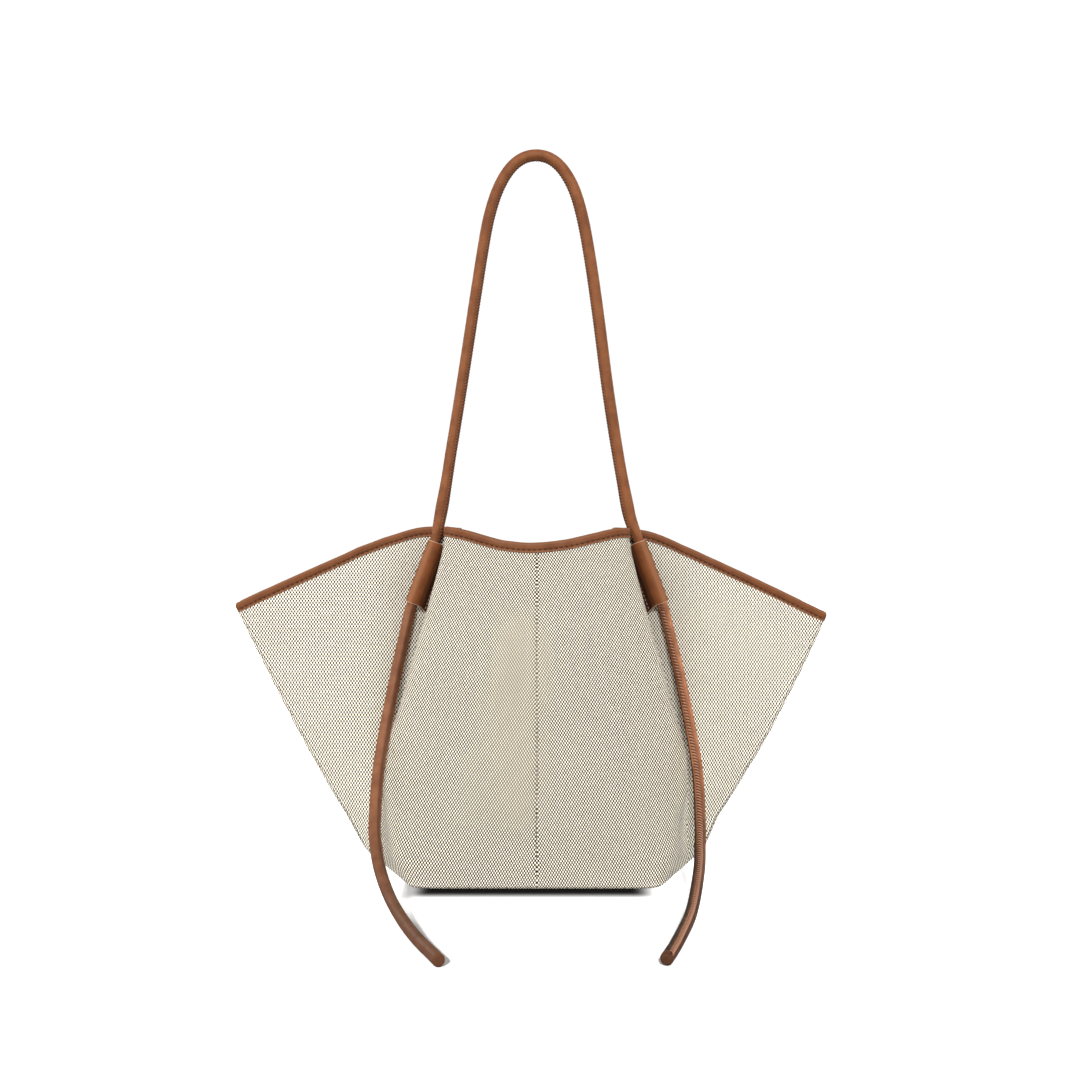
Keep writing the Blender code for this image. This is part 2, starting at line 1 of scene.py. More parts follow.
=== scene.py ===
"""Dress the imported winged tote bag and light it.

The canvas halves, the base, both rim bindings, the two strap tunnels and the rolled strap are made again as
sewn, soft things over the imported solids, each with its own weave, grain and stitching.

X runs to the viewer's right, the front is -Y, +Z is up, and every length is in metres.
"""

from __future__ import annotations

import json
import logging
from dataclasses import dataclass, field
from enum import Enum, IntEnum
from math import cos, pi, radians, sin, sqrt
from typing import ClassVar, Iterable, Sequence

import bpy
import numpy as np
from bpy.types import ID, Collection, Material, Modifier, NodeSocket, Object
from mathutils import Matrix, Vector
from mathutils.geometry import interpolate_bezier

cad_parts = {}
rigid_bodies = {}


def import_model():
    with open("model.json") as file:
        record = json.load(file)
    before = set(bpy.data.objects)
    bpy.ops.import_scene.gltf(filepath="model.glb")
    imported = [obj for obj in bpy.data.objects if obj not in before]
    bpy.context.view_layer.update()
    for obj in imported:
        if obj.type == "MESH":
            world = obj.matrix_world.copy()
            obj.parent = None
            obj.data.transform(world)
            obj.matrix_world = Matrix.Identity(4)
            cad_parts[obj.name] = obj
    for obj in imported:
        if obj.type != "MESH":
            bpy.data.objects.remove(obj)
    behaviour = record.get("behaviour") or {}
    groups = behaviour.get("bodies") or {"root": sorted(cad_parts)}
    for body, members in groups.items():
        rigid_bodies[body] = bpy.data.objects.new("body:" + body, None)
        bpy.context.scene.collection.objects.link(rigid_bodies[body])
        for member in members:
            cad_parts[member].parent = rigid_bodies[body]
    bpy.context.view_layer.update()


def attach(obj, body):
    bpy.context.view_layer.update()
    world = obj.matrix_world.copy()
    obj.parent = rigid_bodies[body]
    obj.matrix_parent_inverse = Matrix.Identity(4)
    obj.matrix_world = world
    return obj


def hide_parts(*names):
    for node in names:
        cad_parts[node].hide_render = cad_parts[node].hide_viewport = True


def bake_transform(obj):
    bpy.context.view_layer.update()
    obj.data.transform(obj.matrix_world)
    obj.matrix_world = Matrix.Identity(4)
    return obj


LOG = logging.getLogger("winged_tote")
Array = np.ndarray
Rows = Sequence[tuple[Array, Array]]

BAG = "bag"
ARCH = "strap_arch"
MIRROR = np.array([-1.0, 1.0, 1.0])


class Slot(Enum):
    """The record's material slots."""

    CANVAS = "canvas"
    LEATHER = "leather"


class Way(IntEnum):
    """A named direction with its sign."""

    @property
    def word(self) -> str:
        """Return the direction's name in the pieces' names."""
        return self.name.lower()


class Side(Way):
    """The bag's two sides, as the sign of X."""

    LEFT = -1
    RIGHT = 1


class Face(Way):
    """The bag's two faces, the front as the positive one."""

    FRONT = 1
    REAR = -1


# Shader expressions


@dataclass(frozen=True)
class Noise:
    """A noise's settings, and how far its place is stretched along each axis first."""

    scale: float
    detail: float
    roughness: float
    stretch: tuple = ()


class Graph:
    """The node tree of one new material."""

    def __init__(self, name: str) -> None:
        """Start an empty tree.

        Args:
            name: the material's name.
        """
        self.material = bpy.data.materials.new(name)
        self.material.use_nodes = True
        self.tree = self.material.node_tree
        self.tree.nodes.clear()

    def node(
        self, kind: str, settings: dict | None = None, sockets: dict | None = None, output: int | str = 0
    ) -> Value:
        """Add a node and return one of its outputs.

        Args:
            kind: the shader node's type.
            settings: properties, set before the sockets.
            sockets: values or links, by socket name or number.
            output: which output to return.

        Returns:
            The output, ready for expressions.
        """
        made = self.tree.nodes.new("ShaderNode" + kind)
        for key, setting in (settings or {}).items():
            setattr(made, key, setting)
        for key, given in (sockets or {}).items():
            if isinstance(given, Value):
                self.tree.links.new(given.socket, made.inputs[key])
            else:
                made.inputs[key].default_value = given
        return Value(self, made.outputs[output])

    def maths(self, operation: str, *terms: Value | float) -> Value:
        """Add a Math node over the terms."""
        return self.node("Math", {"operation": operation}, dict(enumerate(terms)))

    def mix(self, share: Value | float, low: Value | tuple, high: Value | tuple) -> Value:
        """Mix two colours by a share."""
        low, high = ((*colour, 1.0) if isinstance(colour, tuple) else colour for colour in (low, high))
        return self.node("Mix", {"data_type": "RGBA"}, {0: share, 6: low, 7: high}, 2)

    def shade(self, colour: Value | tuple, amount: Value) -> Value:
        """Multiply a colour by a grey amount."""
        grey = self.node("CombineXYZ", None, {0: amount, 1: amount, 2: amount})
        return self.stretch(colour, grey)

    def stretch(self, vector: Value | tuple, scale: Value | tuple) -> Value:
        """Multiply two vectors part by part."""
        return self.node("VectorMath", {"operation": "MULTIPLY"}, {0: vector, 1: scale})

    def ramp(self, value: Value, low: float, high: float, top: float = 1.0) -> Value:
        """Return 0 below low, the top above high and a smooth step between."""
        settings = {"interpolation_type": "SMOOTHSTEP"}
        return self.node("MapRange", settings, {0: value, 1: low, 2: high, 3: 0.0, 4: top})

    def noise(self, place: Value, kind: Noise) -> Value:
        """Return a noise from 0 to 1.

        Args:
            place: the coordinates.
            kind: the noise's settings.

        Returns:
            The noise.
        """
        if kind.stretch:
            place = self.stretch(place, kind.stretch)
        sockets = {"Vector": place, "Scale": kind.scale, "Detail": kind.detail, "Roughness": kind.roughness}
        return self.node("TexNoise", None, sockets)

    def wave(self, value: Value, pitch: float) -> Value:
        """Return a cosine wave from -1 to 1."""
        return self.maths("COSINE", value * (2 * pi / pitch))

    def place(self) -> Value:
        """Return the object coordinates."""
        return self.node("TexCoord", None, None, "Object")

    def sewn_map(self, name: str) -> Value:
        """Return a UV map of the piece."""
        return self.node("UVMap", {"uv_map": name})

    def attribute(self, name: str) -> Value:
        """Return a number that the piece's mesh carries."""
        return self.node("Attribute", {"attribute_name": name}, None, "Fac")

    def parts(self, vector: Value) -> list[Value]:
        """Return a vector's three parts."""
        split = self.node("SeparateXYZ", None, {0: vector}).socket.node
        return [Value(self, output) for output in split.outputs]

    def bump(self, height: Value, distance: float, strength: float) -> Value:
        """Return a normal raised by a height."""
        return self.node("Bump", None, {"Height": height, "Distance": distance, "Strength": strength})

    def finish(self, preview: tuple, plain: dict, varied: dict) -> Material:
        """Close the tree with a Principled shader.

        Args:
            preview: the material's colour outside the shader.
            plain: uniform sockets by name.
            varied: linked sockets by name.

        Returns:
            The material.
        """
        shader = self.node("BsdfPrincipled", None, {**plain, **varied})
        made = self.tree.nodes.new("ShaderNodeOutputMaterial")
        self.tree.links.new(shader.socket, made.inputs["Surface"])
        self.material.diffuse_color = (*preview, 1.0)
        return self.material


@dataclass(frozen=True)
class Value:
    """A shader output that can stand in sums and products."""

    graph: Graph
    socket: NodeSocket

    def __add__(self, other: Value | float) -> Value:
        """Return the sum."""
        return self.graph.maths("ADD", self, other)

    def __radd__(self, other: float) -> Value:
        """Return the sum with a number on the left."""
        return self.graph.maths("ADD", other, self)

    def __sub__(self, other: Value | float) -> Value:
        """Return the difference."""
        return self.graph.maths("SUBTRACT", self, other)

    def __rsub__(self, other: float) -> Value:
        """Return a number less this value."""
        return self.graph.maths("SUBTRACT", other, self)

    def __mul__(self, other: Value | float) -> Value:
        """Return the product."""
        return self.graph.maths("MULTIPLY", self, other)


def total(base: float, terms: Sequence[tuple[Value, float]]) -> Value:
    """Return a number with each term times its share added."""
    return sum((value * share for value, share in terms), base)


# Finishes


@dataclass(frozen=True)
class CanvasFinish:
    """Cream canvas with small dark dots in staggered rows, closer together on the full cloth."""

    across: float = 0.00245
    along: float = 0.00367
    yarns: int = 4
    cream: tuple = (0.975, 0.920, 0.790)
    dark: tuple = (0.040, 0.019, 0.005)
    middle: float = 0.004
    soft: float = 0.038
    # painted shade: how much bigger the dots are drawn on the full cloth
    front_dot_shade: float = 0.12
    slub: Noise = Noise(1.0, 2.0, 0.6, (500.0, 260.0, 1.0))
    slub_share: float = 0.18
    fibre: Noise = Noise(1.0, 3.0, 0.65, (2600.0, 900.0, 1.0))
    cloud: Noise = Noise(1.0, 3.0, 0.5, (28.0, 22.0, 1.0))
    light: float = 1.07
    yarn_light: float = 0.05
    pick_light: float = 0.04
    fibre_light: float = 0.08
    cloud_light: float = 0.06
    thread_relief: float = 0.35
    fibre_relief: float = 0.3
    dot_relief: float = -0.7
    relief: tuple = (0.00022, 0.55)
    rough: float = 0.82
    fibre_rough: float = 0.12
    gloss: float = 0.25
    sheen: float = 0.08
    sheen_rough: float = 0.5

    def make(self) -> Material:
        """Return the material."""
        g = Graph("canvas_weave")
        weave = g.sewn_map("weave")
        u, v, _ = g.parts(weave)
        lattice = g.wave(u, self.across) * g.wave(v, self.along)
        slub = g.noise(weave, self.slub)
        full = g.attribute("full_cloth")
        # painted shade: on the full cloth the dots are drawn bigger, darkening the front against the wings
        raised = lattice + (slub - 0.5) * self.slub_share + full * self.front_dot_shade
        dots = g.ramp(raised, self.middle - self.soft, self.middle + self.soft)
        yarn = g.wave(u, self.across / self.yarns) * 0.5 + 0.5
        pick = g.wave(v, self.along / self.yarns) * 0.5 + 0.5
        fibre = g.noise(weave, self.fibre)
        cloud = g.noise(weave, self.cloud)
        woven = ((yarn, self.yarn_light), (pick, self.pick_light))
        uneven = ((fibre, self.fibre_light), (cloud, self.cloud_light))
        # painted shade: the cloth darkens by the panel's fold_depth number, in the recess beside the front's folds
        light = total(self.light, woven + uneven) * (1.0 - g.attribute("fold_depth"))
        threads = (yarn + pick) * self.thread_relief
        height = threads + fibre * self.fibre_relief + dots * self.dot_relief
        plain = {
            "Specular IOR Level": self.gloss,
            "Sheen Weight": self.sheen,
            "Sheen Roughness": self.sheen_rough,
        }
        varied = {
            "Base Color": g.shade(g.mix(dots, self.cream, self.dark), light),
            "Roughness": fibre * self.fibre_rough + self.rough,
            "Normal": g.bump(height, *self.relief),
        }
        return g.finish(self.cream, plain, varied)


@dataclass(frozen=True)
class LeatherFinish:
    """Smooth waxed cognac leather with fine pores and soft mottling, laid out on the piece's run map.

    A band is (centre, half width, depth) across the map: shade bands paint shade towards the shadow colour, and lit
    and worn bands paint highlight and wear towards the lighter tone. A pitch gives the sewn ridge its needle holes,
    and low is (height, share) where shade is painted into the leather towards the ground.
    """

    name: str
    tone: tuple
    # painted shade: each band darkens the leather towards the shadow colour, in grooves, creases and on sides
    # turned from the light
    shade_bands: tuple
    # painted highlight, and real wear on the binding's lower edges: each band lightens the leather towards the
    # lighter tone
    lit_and_worn_bands: tuple = ()
    pitch: float = 0.0
    slant: float = 0.0011
    low: tuple = ()
    deep: tuple = (0.115, 0.034, 0.013)
    # the lighter tone of the random worn streaks and of the painted highlight bands
    wear_and_highlight: tuple = (0.380, 0.175, 0.085)
    shadow: tuple = (0.030, 0.012, 0.007)
    hole: tuple = (0.035, 0.014, 0.008)
    map_width: float = 0.0045
    clouds: Noise = Noise(1.0, 4.0, 0.6, (70.0, 70.0, 55.0))
    mottling: tuple = (0.30, 0.72, 0.55)
    streaks: Noise = Noise(1.0, 3.0, 0.6, (30.0, 420.0, 420.0))
    streaking: tuple = (0.55, 0.85, 0.22)
    grain: Noise = Noise(1500.0, 3.0, 0.6)
    pore_scale: float = 2200.0
    dark_core: float = 0.4
    lit_and_worn_core: float = 0.3
    hole_reach: tuple = (0.35, 0.60)
    hole_edge: tuple = (0.45, 0.95)
    hole_tone: float = 0.75
    hole_relief: float = -0.8
    light: float = 0.90
    grain_light: float = 0.20
    pore_relief: float = 0.35
    grain_relief: float = 0.45
    relief: tuple = (0.00010, 0.45)
    rough: float = 0.40
    cloud_rough: float = 0.14
    pore_rough: float = 0.08
    gloss: float = 0.12

    def make(self) -> Material:
        """Return the material."""
        g = Graph(self.name)
        run = g.sewn_map("run")
        length, around, _ = g.parts(run)
        place = g.stretch(run, (1.0, self.map_width, 1.0))
        clouds = g.noise(place, self.clouds)
        streaks = g.noise(place, self.streaks)
        cells = {"Vector": place, "Scale": self.pore_scale, "Randomness": 1.0}
        pores = g.node("TexVoronoi", {"feature": "F1"}, cells, "Distance")
        grain = g.noise(place, self.grain)
        tone = g.mix(g.ramp(clouds, *self.mottling), self.tone, self.deep)
        tone = g.mix(g.ramp(streaks, *self.streaking), tone, self.wear_and_highlight)
        # painted shade and painted highlight, laid as bands across the run map
        bands = [(band, self.dark_core, self.shadow) for band in self.shade_bands]
        bands += [(band, self.lit_and_worn_core, self.wear_and_highlight) for band in self.lit_and_worn_bands]
        for (centre, half, depth), core, colour in bands:
            band = 1.0 - g.ramp(g.maths("ABSOLUTE", around - centre), half * core, half)
            tone = g.mix(band * depth, tone, colour)
        light = grain * self.grain_light + self.light
        height = pores * self.pore_relief + grain * self.grain_relief
        # painted shade: below the height in low the leather darkens towards the ground by its share
        if self.low:
            up = g.parts(g.place())[2]
            light = light * (1.0 - (1.0 - g.ramp(up, 0.0, self.low[0])) * self.low[1])
        if self.pitch:
            wave = g.wave(length - around * self.slant, self.pitch) * 0.5 + 0.5
            near = 1.0 - g.ramp(g.maths("ABSOLUTE", around), *self.hole_reach)
            holes = g.ramp(wave, *self.hole_edge) * near
            tone = g.mix(holes * self.hole_tone, tone, self.hole)
            height = height + holes * self.hole_relief
        varied = {
            "Base Color": g.shade(tone, light),
            "Roughness": total(self.rough, ((clouds, self.cloud_rough), (pores, self.pore_rough))),
            "Normal": g.bump(height, *self.relief),
        }
        return g.finish(self.tone, {"Specular IOR Level": self.gloss}, varied)


@dataclass(frozen=True)
class ThreadFinish:
    """Waxed sewing thread, twisted from three plies."""

    name: str
    tone: tuple
    ply_scale: float = 700.0
    ply_bend: float = 1.5
    fuzz: Noise = Noise(3000.0, 2.0, 0.6)
    light: float = 0.75
    ply_light: float = 0.25
    fuzz_light: float = 0.2
    relief: tuple = (0.0001, 0.4)
    rough: float = 0.5
    fuzz_rough: float = 0.2
    gloss: float = 0.4

    def make(self) -> Material:
        """Return the material."""
        g = Graph(self.name)
        place = g.place()
        plies = {"Vector": place, "Scale": self.ply_scale, "Distortion": self.ply_bend, "Detail": 1.0}
        twist = g.node("TexWave", {"bands_direction": "DIAGONAL"}, plies, 1)
        fuzz = g.noise(place, self.fuzz)
        light = total(self.light, ((twist, self.ply_light), (fuzz, self.fuzz_light)))
        varied = {
            "Base Color": g.shade(self.tone, light),
            "Roughness": fuzz * self.fuzz_rough + self.rough,
            "Normal": g.bump(twist, *self.relief),
        }
        return g.finish(self.tone, {"Specular IOR Level": self.gloss}, varied)


@dataclass(frozen=True)
class FibreFinish:
    """Dry fibrous stuff: the leather's cut edge, or the board with its paler flecks."""

    name: str
    tone: tuple
    fibres: Noise
    bands: Noise
    light: float
    fibre_light: float
    band_light: float
    relief: tuple
    fibre_rough: float
    gloss: float
    fleck: tuple = (0.20, 0.18, 0.15)
    flecking: tuple = ()
    rough: float = 0.62

    def make(self) -> Material:
        """Return the material."""
        g = Graph(self.name)
        fibres = g.noise(g.place(), self.fibres)
        bands = g.noise(g.place(), self.bands)
        tone = g.mix(g.ramp(fibres, *self.flecking), self.tone, self.fleck) if self.flecking else self.tone
        light = total(self.light, ((fibres, self.fibre_light), (bands, self.band_light)))
        varied = {
            "Base Color": g.shade(tone, light),
            "Roughness": fibres * self.fibre_rough + self.rough,
            "Normal": g.bump(fibres, *self.relief),
        }
        return g.finish(self.tone, {"Specular IOR Level": self.gloss}, varied)


@dataclass(frozen=True)
class FloorFinish:
    """Plain pale studio floor with the contact shade round the bag's foot, glowing where the photo's is lit."""

    tone: tuple = (0.97, 0.97, 0.97)
    drift: Noise = Noise(1.2, 2.0, 0.5)
    light: float = 0.99
    drift_light: float = 0.02
    shade_front: tuple = (0.0650, 0.0975)
    front_power: float = 2.1
    shade_rear: tuple = (0.020, 0.085)
    shade_end: tuple = (0.0800, 0.1110)
    end_power: float = 2.0
    shade_middle: float = -0.0050
    shade_depth: float = 0.997
    lit_from: tuple = (-0.178, -0.116)
    glow: float = 0.62
    rough: float = 0.78
    drift_rough: float = 0.1
    gloss: float = 0.02

    def make(self) -> Material:
        """Return the material."""
        g = Graph("pale_floor")
        place = g.place()
        drift = g.noise(place, self.drift)
        x, y, _ = g.parts(place)
        # painted shadow: the floor darkens round the bag's foot, most in front, as a contact shadow
        front = g.maths("POWER", g.ramp(y * -1.0, *self.shade_front), self.front_power)
        middle = 1.0 - front - g.ramp(y, *self.shade_rear)
        away = g.maths("ABSOLUTE", x - self.shade_middle)
        inside = 1.0 - g.maths("POWER", g.ramp(away, *self.shade_end), self.end_power)
        light = (drift * self.drift_light + self.light) * (1.0 - middle * inside * self.shade_depth)
        varied = {
            "Base Color": g.shade(self.tone, light),
            "Roughness": drift * self.drift_rough + self.rough,
            # painted light: the floor glows near the bag and behind it, washing out cast shadows there, but not in
            # front near the tails' tips
            "Emission Color": g.shade(self.tone, light * g.ramp(y, *self.lit_from)),
        }
        plain = {"Specular IOR Level": self.gloss, "Emission Strength": self.glow}
        return g.finish(self.tone, plain, varied)


@dataclass(frozen=True)
class BackdropFinish:
    """Evenly lit white paper."""

    tone: tuple = (1.0, 1.0, 1.0)
    drift: Noise = Noise(0.2, 1.0, 0.5)
    light: float = 0.99
    drift_light: float = 0.01
    glow: float = 1.05

    def make(self) -> Material:
        """Return the material."""
        g = Graph("white_backdrop")
        light = g.noise(g.place(), self.drift) * self.drift_light + self.light
        plain = {
            "Base Color": (0.0, 0.0, 0.0, 1.0),
            "Emission Strength": self.glow,
            "Specular IOR Level": 0.0,
        }
        return g.finish(self.tone, plain, {"Emission Color": g.shade(self.tone, light)})


Finish = CanvasFinish | LeatherFinish | FibreFinish | ThreadFinish


def made(finish: Finish) -> Material:
    """Return a field that holds the finish's material."""
    return field(default_factory=finish.make)


@dataclass
class Finishes:
    """Every material of the bag, made once."""

    # painted shade in the binding's stitched groove
    groove: ClassVar[tuple] = ((-1.0, 0.16, 0.12), (1.0, 0.16, 0.12))
    # painted highlight along the binding's crown, and real wear on its lower edges
    lit_and_worn_lips: ClassVar[tuple] = ((0.0, 0.25, 0.22), (-1.40, 0.16, 0.45), (1.40, 0.16, 0.45))
    # painted shade on the tunnel: dark over the flange in the fold's recess, and along the loop's outer side
    flange: ClassVar[tuple] = ((10.6, 1.3, 0.98), (9.3, 1.0, 0.45), (5.3, 0.6, 0.30))
    # painted highlight along the front of the tunnel's loop
    painted_flange_highlight: ClassVar[tuple] = ((6.5, 0.9, 0.40),)
    # painted shade on the strap's inner side: along the sewn ridge, beside it and in the crease across from it
    inner: ClassVar[tuple] = ((0.0, 0.50, 0.45), (1.05, 0.62, 0.45), (-0.66, 0.20, 0.25))
    # painted shade on the right tail: along the whipped ridge, a deep shadow down one side and the crease on the
    # other
    whipped_ridge_shade: ClassVar[tuple] = ((0.0, 0.58, 0.50), (1.15, 0.62, 0.92), (-0.66, 0.20, 0.30))
    ridge_pitch: ClassVar[float] = 0.0027

    canvas: Material = made(CanvasFinish())
    binding: Material = made(LeatherFinish("cognac_binding", (0.195, 0.069, 0.026), groove, lit_and_worn_lips))
    tunnel: Material = made(LeatherFinish("cognac_tunnel", (0.240, 0.078, 0.027), flange, painted_flange_highlight))
    strap: Material = made(LeatherFinish("cognac_strap", (0.265, 0.096, 0.037), inner, pitch=ridge_pitch))
    # the left tail's copy of the strap leather, painted a little lighter and given painted shade near the ground
    plain_strap: Material = made(
        LeatherFinish("cognac_strap_plain", (0.268, 0.110, 0.054), inner, (), ridge_pitch, low=(0.085, 0.42))
    )
    # the right tail's copy of the strap leather: a much lighter tone as painted light, and strong painted shade
    # near the ground
    slanted_lit_strap: Material = made(
        LeatherFinish(
            "cognac_strap_slanted_lit", (0.500, 0.200, 0.098), whipped_ridge_shade, (), ridge_pitch, -0.0026, (0.130, 0.78),
            wear_and_highlight=(0.60, 0.31, 0.17),
        )
    )
    raw_edge: Material = made(
        FibreFinish(
            "leather_cut_edge", (0.56, 0.33, 0.22), Noise(2400.0, 4.0, 0.7), Noise(260.0, 2.0, 0.5),
            light=0.78, fibre_light=0.30, band_light=0.14, relief=(0.00015, 0.5), fibre_rough=0.2, gloss=0.35,
        )
    )
    dark_thread: Material = made(ThreadFinish("dark_brown_thread", (0.030, 0.012, 0.007)))
    red_thread: Material = made(ThreadFinish("red_brown_thread", (0.19, 0.068, 0.036)))
    tan_thread: Material = made(ThreadFinish("tan_thread", (0.47, 0.22, 0.125)))
    canvas_thread: Material = made(ThreadFinish("olive_thread", (0.050, 0.042, 0.026)))
    board: Material = made(
        FibreFinish(
            "pressed_board", (0.060, 0.054, 0.048), Noise(900.0, 4.0, 0.7), Noise(120.0, 3.0, 0.5),
            light=0.75, fibre_light=0.0, band_light=0.5, relief=(0.0003, 0.5), fibre_rough=0.25, gloss=0.3,
            flecking=(0.60, 0.75, 0.35),
        )
    )


# Mesh helpers


def shown(name: str, data: ID) -> Object:
    """Return a new object at the origin that shows the mesh, light or camera."""
    obj = bpy.data.objects.new(name, data)
    bpy.context.scene.collection.objects.link(obj)
    return obj


def add_piece(
    name: str, vertices: Array, faces: Sequence[Sequence[int]], material: Material, sharp: float = 60.0
) -> Object:
    """Make a smooth-shaded object at the origin.

    Args:
        name: the piece's name.
        vertices: one row of three numbers for each vertex.
        faces: vertex numbers for each face.
        material: the piece's finish.
        sharp: edges steeper than this many degrees stay sharp.

    Returns:
        The new object.
    """
    mesh = bpy.data.meshes.new(name)
    mesh.from_pydata([tuple(row) for row in vertices], [], faces)
    mesh.materials.append(material)
    mesh.shade_smooth()
    mesh.set_sharp_from_angle(angle=radians(sharp))
    return shown(name, mesh)


def add_wall(obj: Object, name: str, thickness: float) -> Modifier:
    """Give a sheet its thickness, half to each side."""
    wall = obj.modifiers.new(name, "SOLIDIFY")
    wall.thickness, wall.offset = thickness, 0.0
    return wall


def fit(piece: Object, node: str = "") -> None:
    """Fix a piece to the bag's body.

    Args:
        piece: the piece.
        node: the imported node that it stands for, if any.
    """
    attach(piece, BAG)
    if node:
        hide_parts(node)


def set_map(obj: Object, name: str, corners: Array) -> None:
    """Give a piece a UV map, with one row of two numbers for each face corner."""
    layer = obj.data.uv_layers.new(name=name)
    layer.data.foreach_set("uv", np.ascontiguousarray(corners, dtype=np.float32).ravel())


def set_number(obj: Object, name: str, values: Array) -> None:
    """Let a piece's vertices carry a number that its material reads."""
    layer = obj.data.attributes.new(name, "FLOAT", "POINT")
    layer.data.foreach_set("value", values.astype(np.float32))


def grid_faces(rows: int, columns: int, flip: bool, closed: bool = False) -> Array:
    """Return the quads of a grid of vertices.

    Args:
        rows: rings or rows of vertices.
        columns: vertices in each.
        flip: turn every face over.
        closed: join each row's end to its start.

    Returns:
        One row of four vertex numbers for each face.
    """
    span = columns if closed else columns - 1
    low = np.arange(rows - 1)[:, None] * columns
    here = np.arange(span)[None, :]
    after = (here + 1) % columns
    quads = np.stack([low + here, low + after, low + columns + after, low + columns + here], axis=-1)
    quads = quads.reshape(-1, 4)
    return quads[:, ::-1] if flip else quads


def unit(vectors: Array) -> Array:
    """Return the vectors at length one."""
    return vectors / np.maximum(np.linalg.norm(vectors, axis=-1, keepdims=True), 1e-12)


def smooth_step(low: float, high: float, value: Array) -> Array:
    """Return 0 below low, 1 above high and a smooth step between."""
    share = np.clip((value - low) / (high - low), 0.0, 1.0)
    return share * share * (3 - 2 * share)


def window(value: Array, rise: tuple, fall: tuple) -> Array:
    """Return a share that steps up over the rise and down again over the fall."""
    return smooth_step(*rise, value) * (1 - smooth_step(*fall, value))


def bell(value: Array, middle: float, width: float) -> Array:
    """Return a hump of height one round a middle."""
    return np.exp(-(((value - middle) / width) ** 2))


def travelled(points: Array) -> Array:
    """Return the distance travelled along a line, or up each column of a grid, at each of its points."""
    steps = np.linalg.norm(np.diff(points, axis=0, prepend=points[:1]), axis=-1)
    return np.cumsum(steps, axis=0)


def read_line(line: Array, measure: Array, marks: Array | float) -> Array:
    """Return a line's points where its rising measure has the marks' values."""
    return np.stack([np.interp(marks, measure, line[:, part]) for part in range(3)], axis=-1)


def evenly(points: Array, step: float) -> Array:
    """Return points about one step apart along a line of many points.

    Args:
        points: the line.
        step: the wanted distance.

    Returns:
        The even points, with both ends kept.
    """
    run = travelled(points)
    count = max(2, round(run[-1] / step))
    return read_line(points, run, np.linspace(0.0, run[-1], count + 1))


def eased(points: Array, passes: int) -> Array:
    """Round off a line of even points without moving its ends.

    Args:
        points: the line.
        passes: how often each point goes to its neighbours' mean.

    Returns:
        The rounded line.
    """
    line = points.copy()
    for _ in range(passes):
        line[1:-1] = (line[:-2] + 2 * line[1:-1] + line[2:]) / 4
    return line


def catmull_rom(before: Array, start: Array, end: Array, after: Array, share: float) -> Array:
    """Return the point at a share of the way from start to end on a smooth curve."""
    return 0.5 * (
        2 * start
        + (end - before) * share
        + (2 * before - 5 * start + 4 * end - after) * share**2
        + (3 * start - before - 3 * end + after) * share**3
    )


def soft_noise(points: Array, size: float, seed: float) -> Array:
    """Return a slow wave field over points in space.

    Args:
        points: rows of three numbers.
        size: the first wave's length.
        seed: turns and shifts the waves.

    Returns:
        Numbers from about -1 to 1.
    """
    waves, turn, growth, loudest = 5, 2.399, 0.23, 3.2
    field_sum = np.zeros(len(points))
    for i in range(waves):
        angle = seed * 1.7 + i * turn
        lean = np.array([cos(angle), 0.4 * sin(angle * 1.3), sin(angle)])
        phase = seed * 3.1 + i * 1.9
        field_sum += np.sin(points @ lean * (2 * pi / (size * (1 + growth * i))) + phase)
    return field_sum / loudest


# Studio


@dataclass(frozen=True)
class SoftBox:
    """One large soft light that faces the bag."""

    name: str
    place: tuple
    size: tuple
    power: float
    tint: tuple = (1.0, 1.0, 1.0)
    past_tails: bool = False

    def hang(self, aim: tuple) -> None:
        """Hang the light.

        Args:
            aim: the point that it faces.
        """
        data = bpy.data.lights.new(self.name, "AREA")
        data.shape = "RECTANGLE"
        data.size, data.size_y = self.size
        data.energy = self.power
        data.color = self.tint
        light = shown(self.name, data)
        light.location = self.place
        light.rotation_euler = (Vector(aim) - Vector(self.place)).to_track_quat("-Z", "Y").to_euler()
        light.visible_camera = False


@dataclass(frozen=True)
class FarLight:
    """A far light before the bag: its angle above the ground, its turn to the right and its softness."""

    name: str
    strength: float
    height: float
    turn: float
    spread: float

    def hang(self) -> None:
        """Hang the light."""
        data = bpy.data.lights.new(self.name, "SUN")
        data.energy = self.strength
        data.angle = self.spread
        light = shown(self.name, data)
        light.rotation_euler = (pi / 2 - self.height, 0.0, self.turn)


def gathered(name: str, pieces: Iterable[Object]) -> Collection:
    """Gather pieces for a light to fall on or to be blocked by."""
    group = bpy.data.collections.new(name)
    for piece in pieces:
        group.objects.link(piece)
    return group


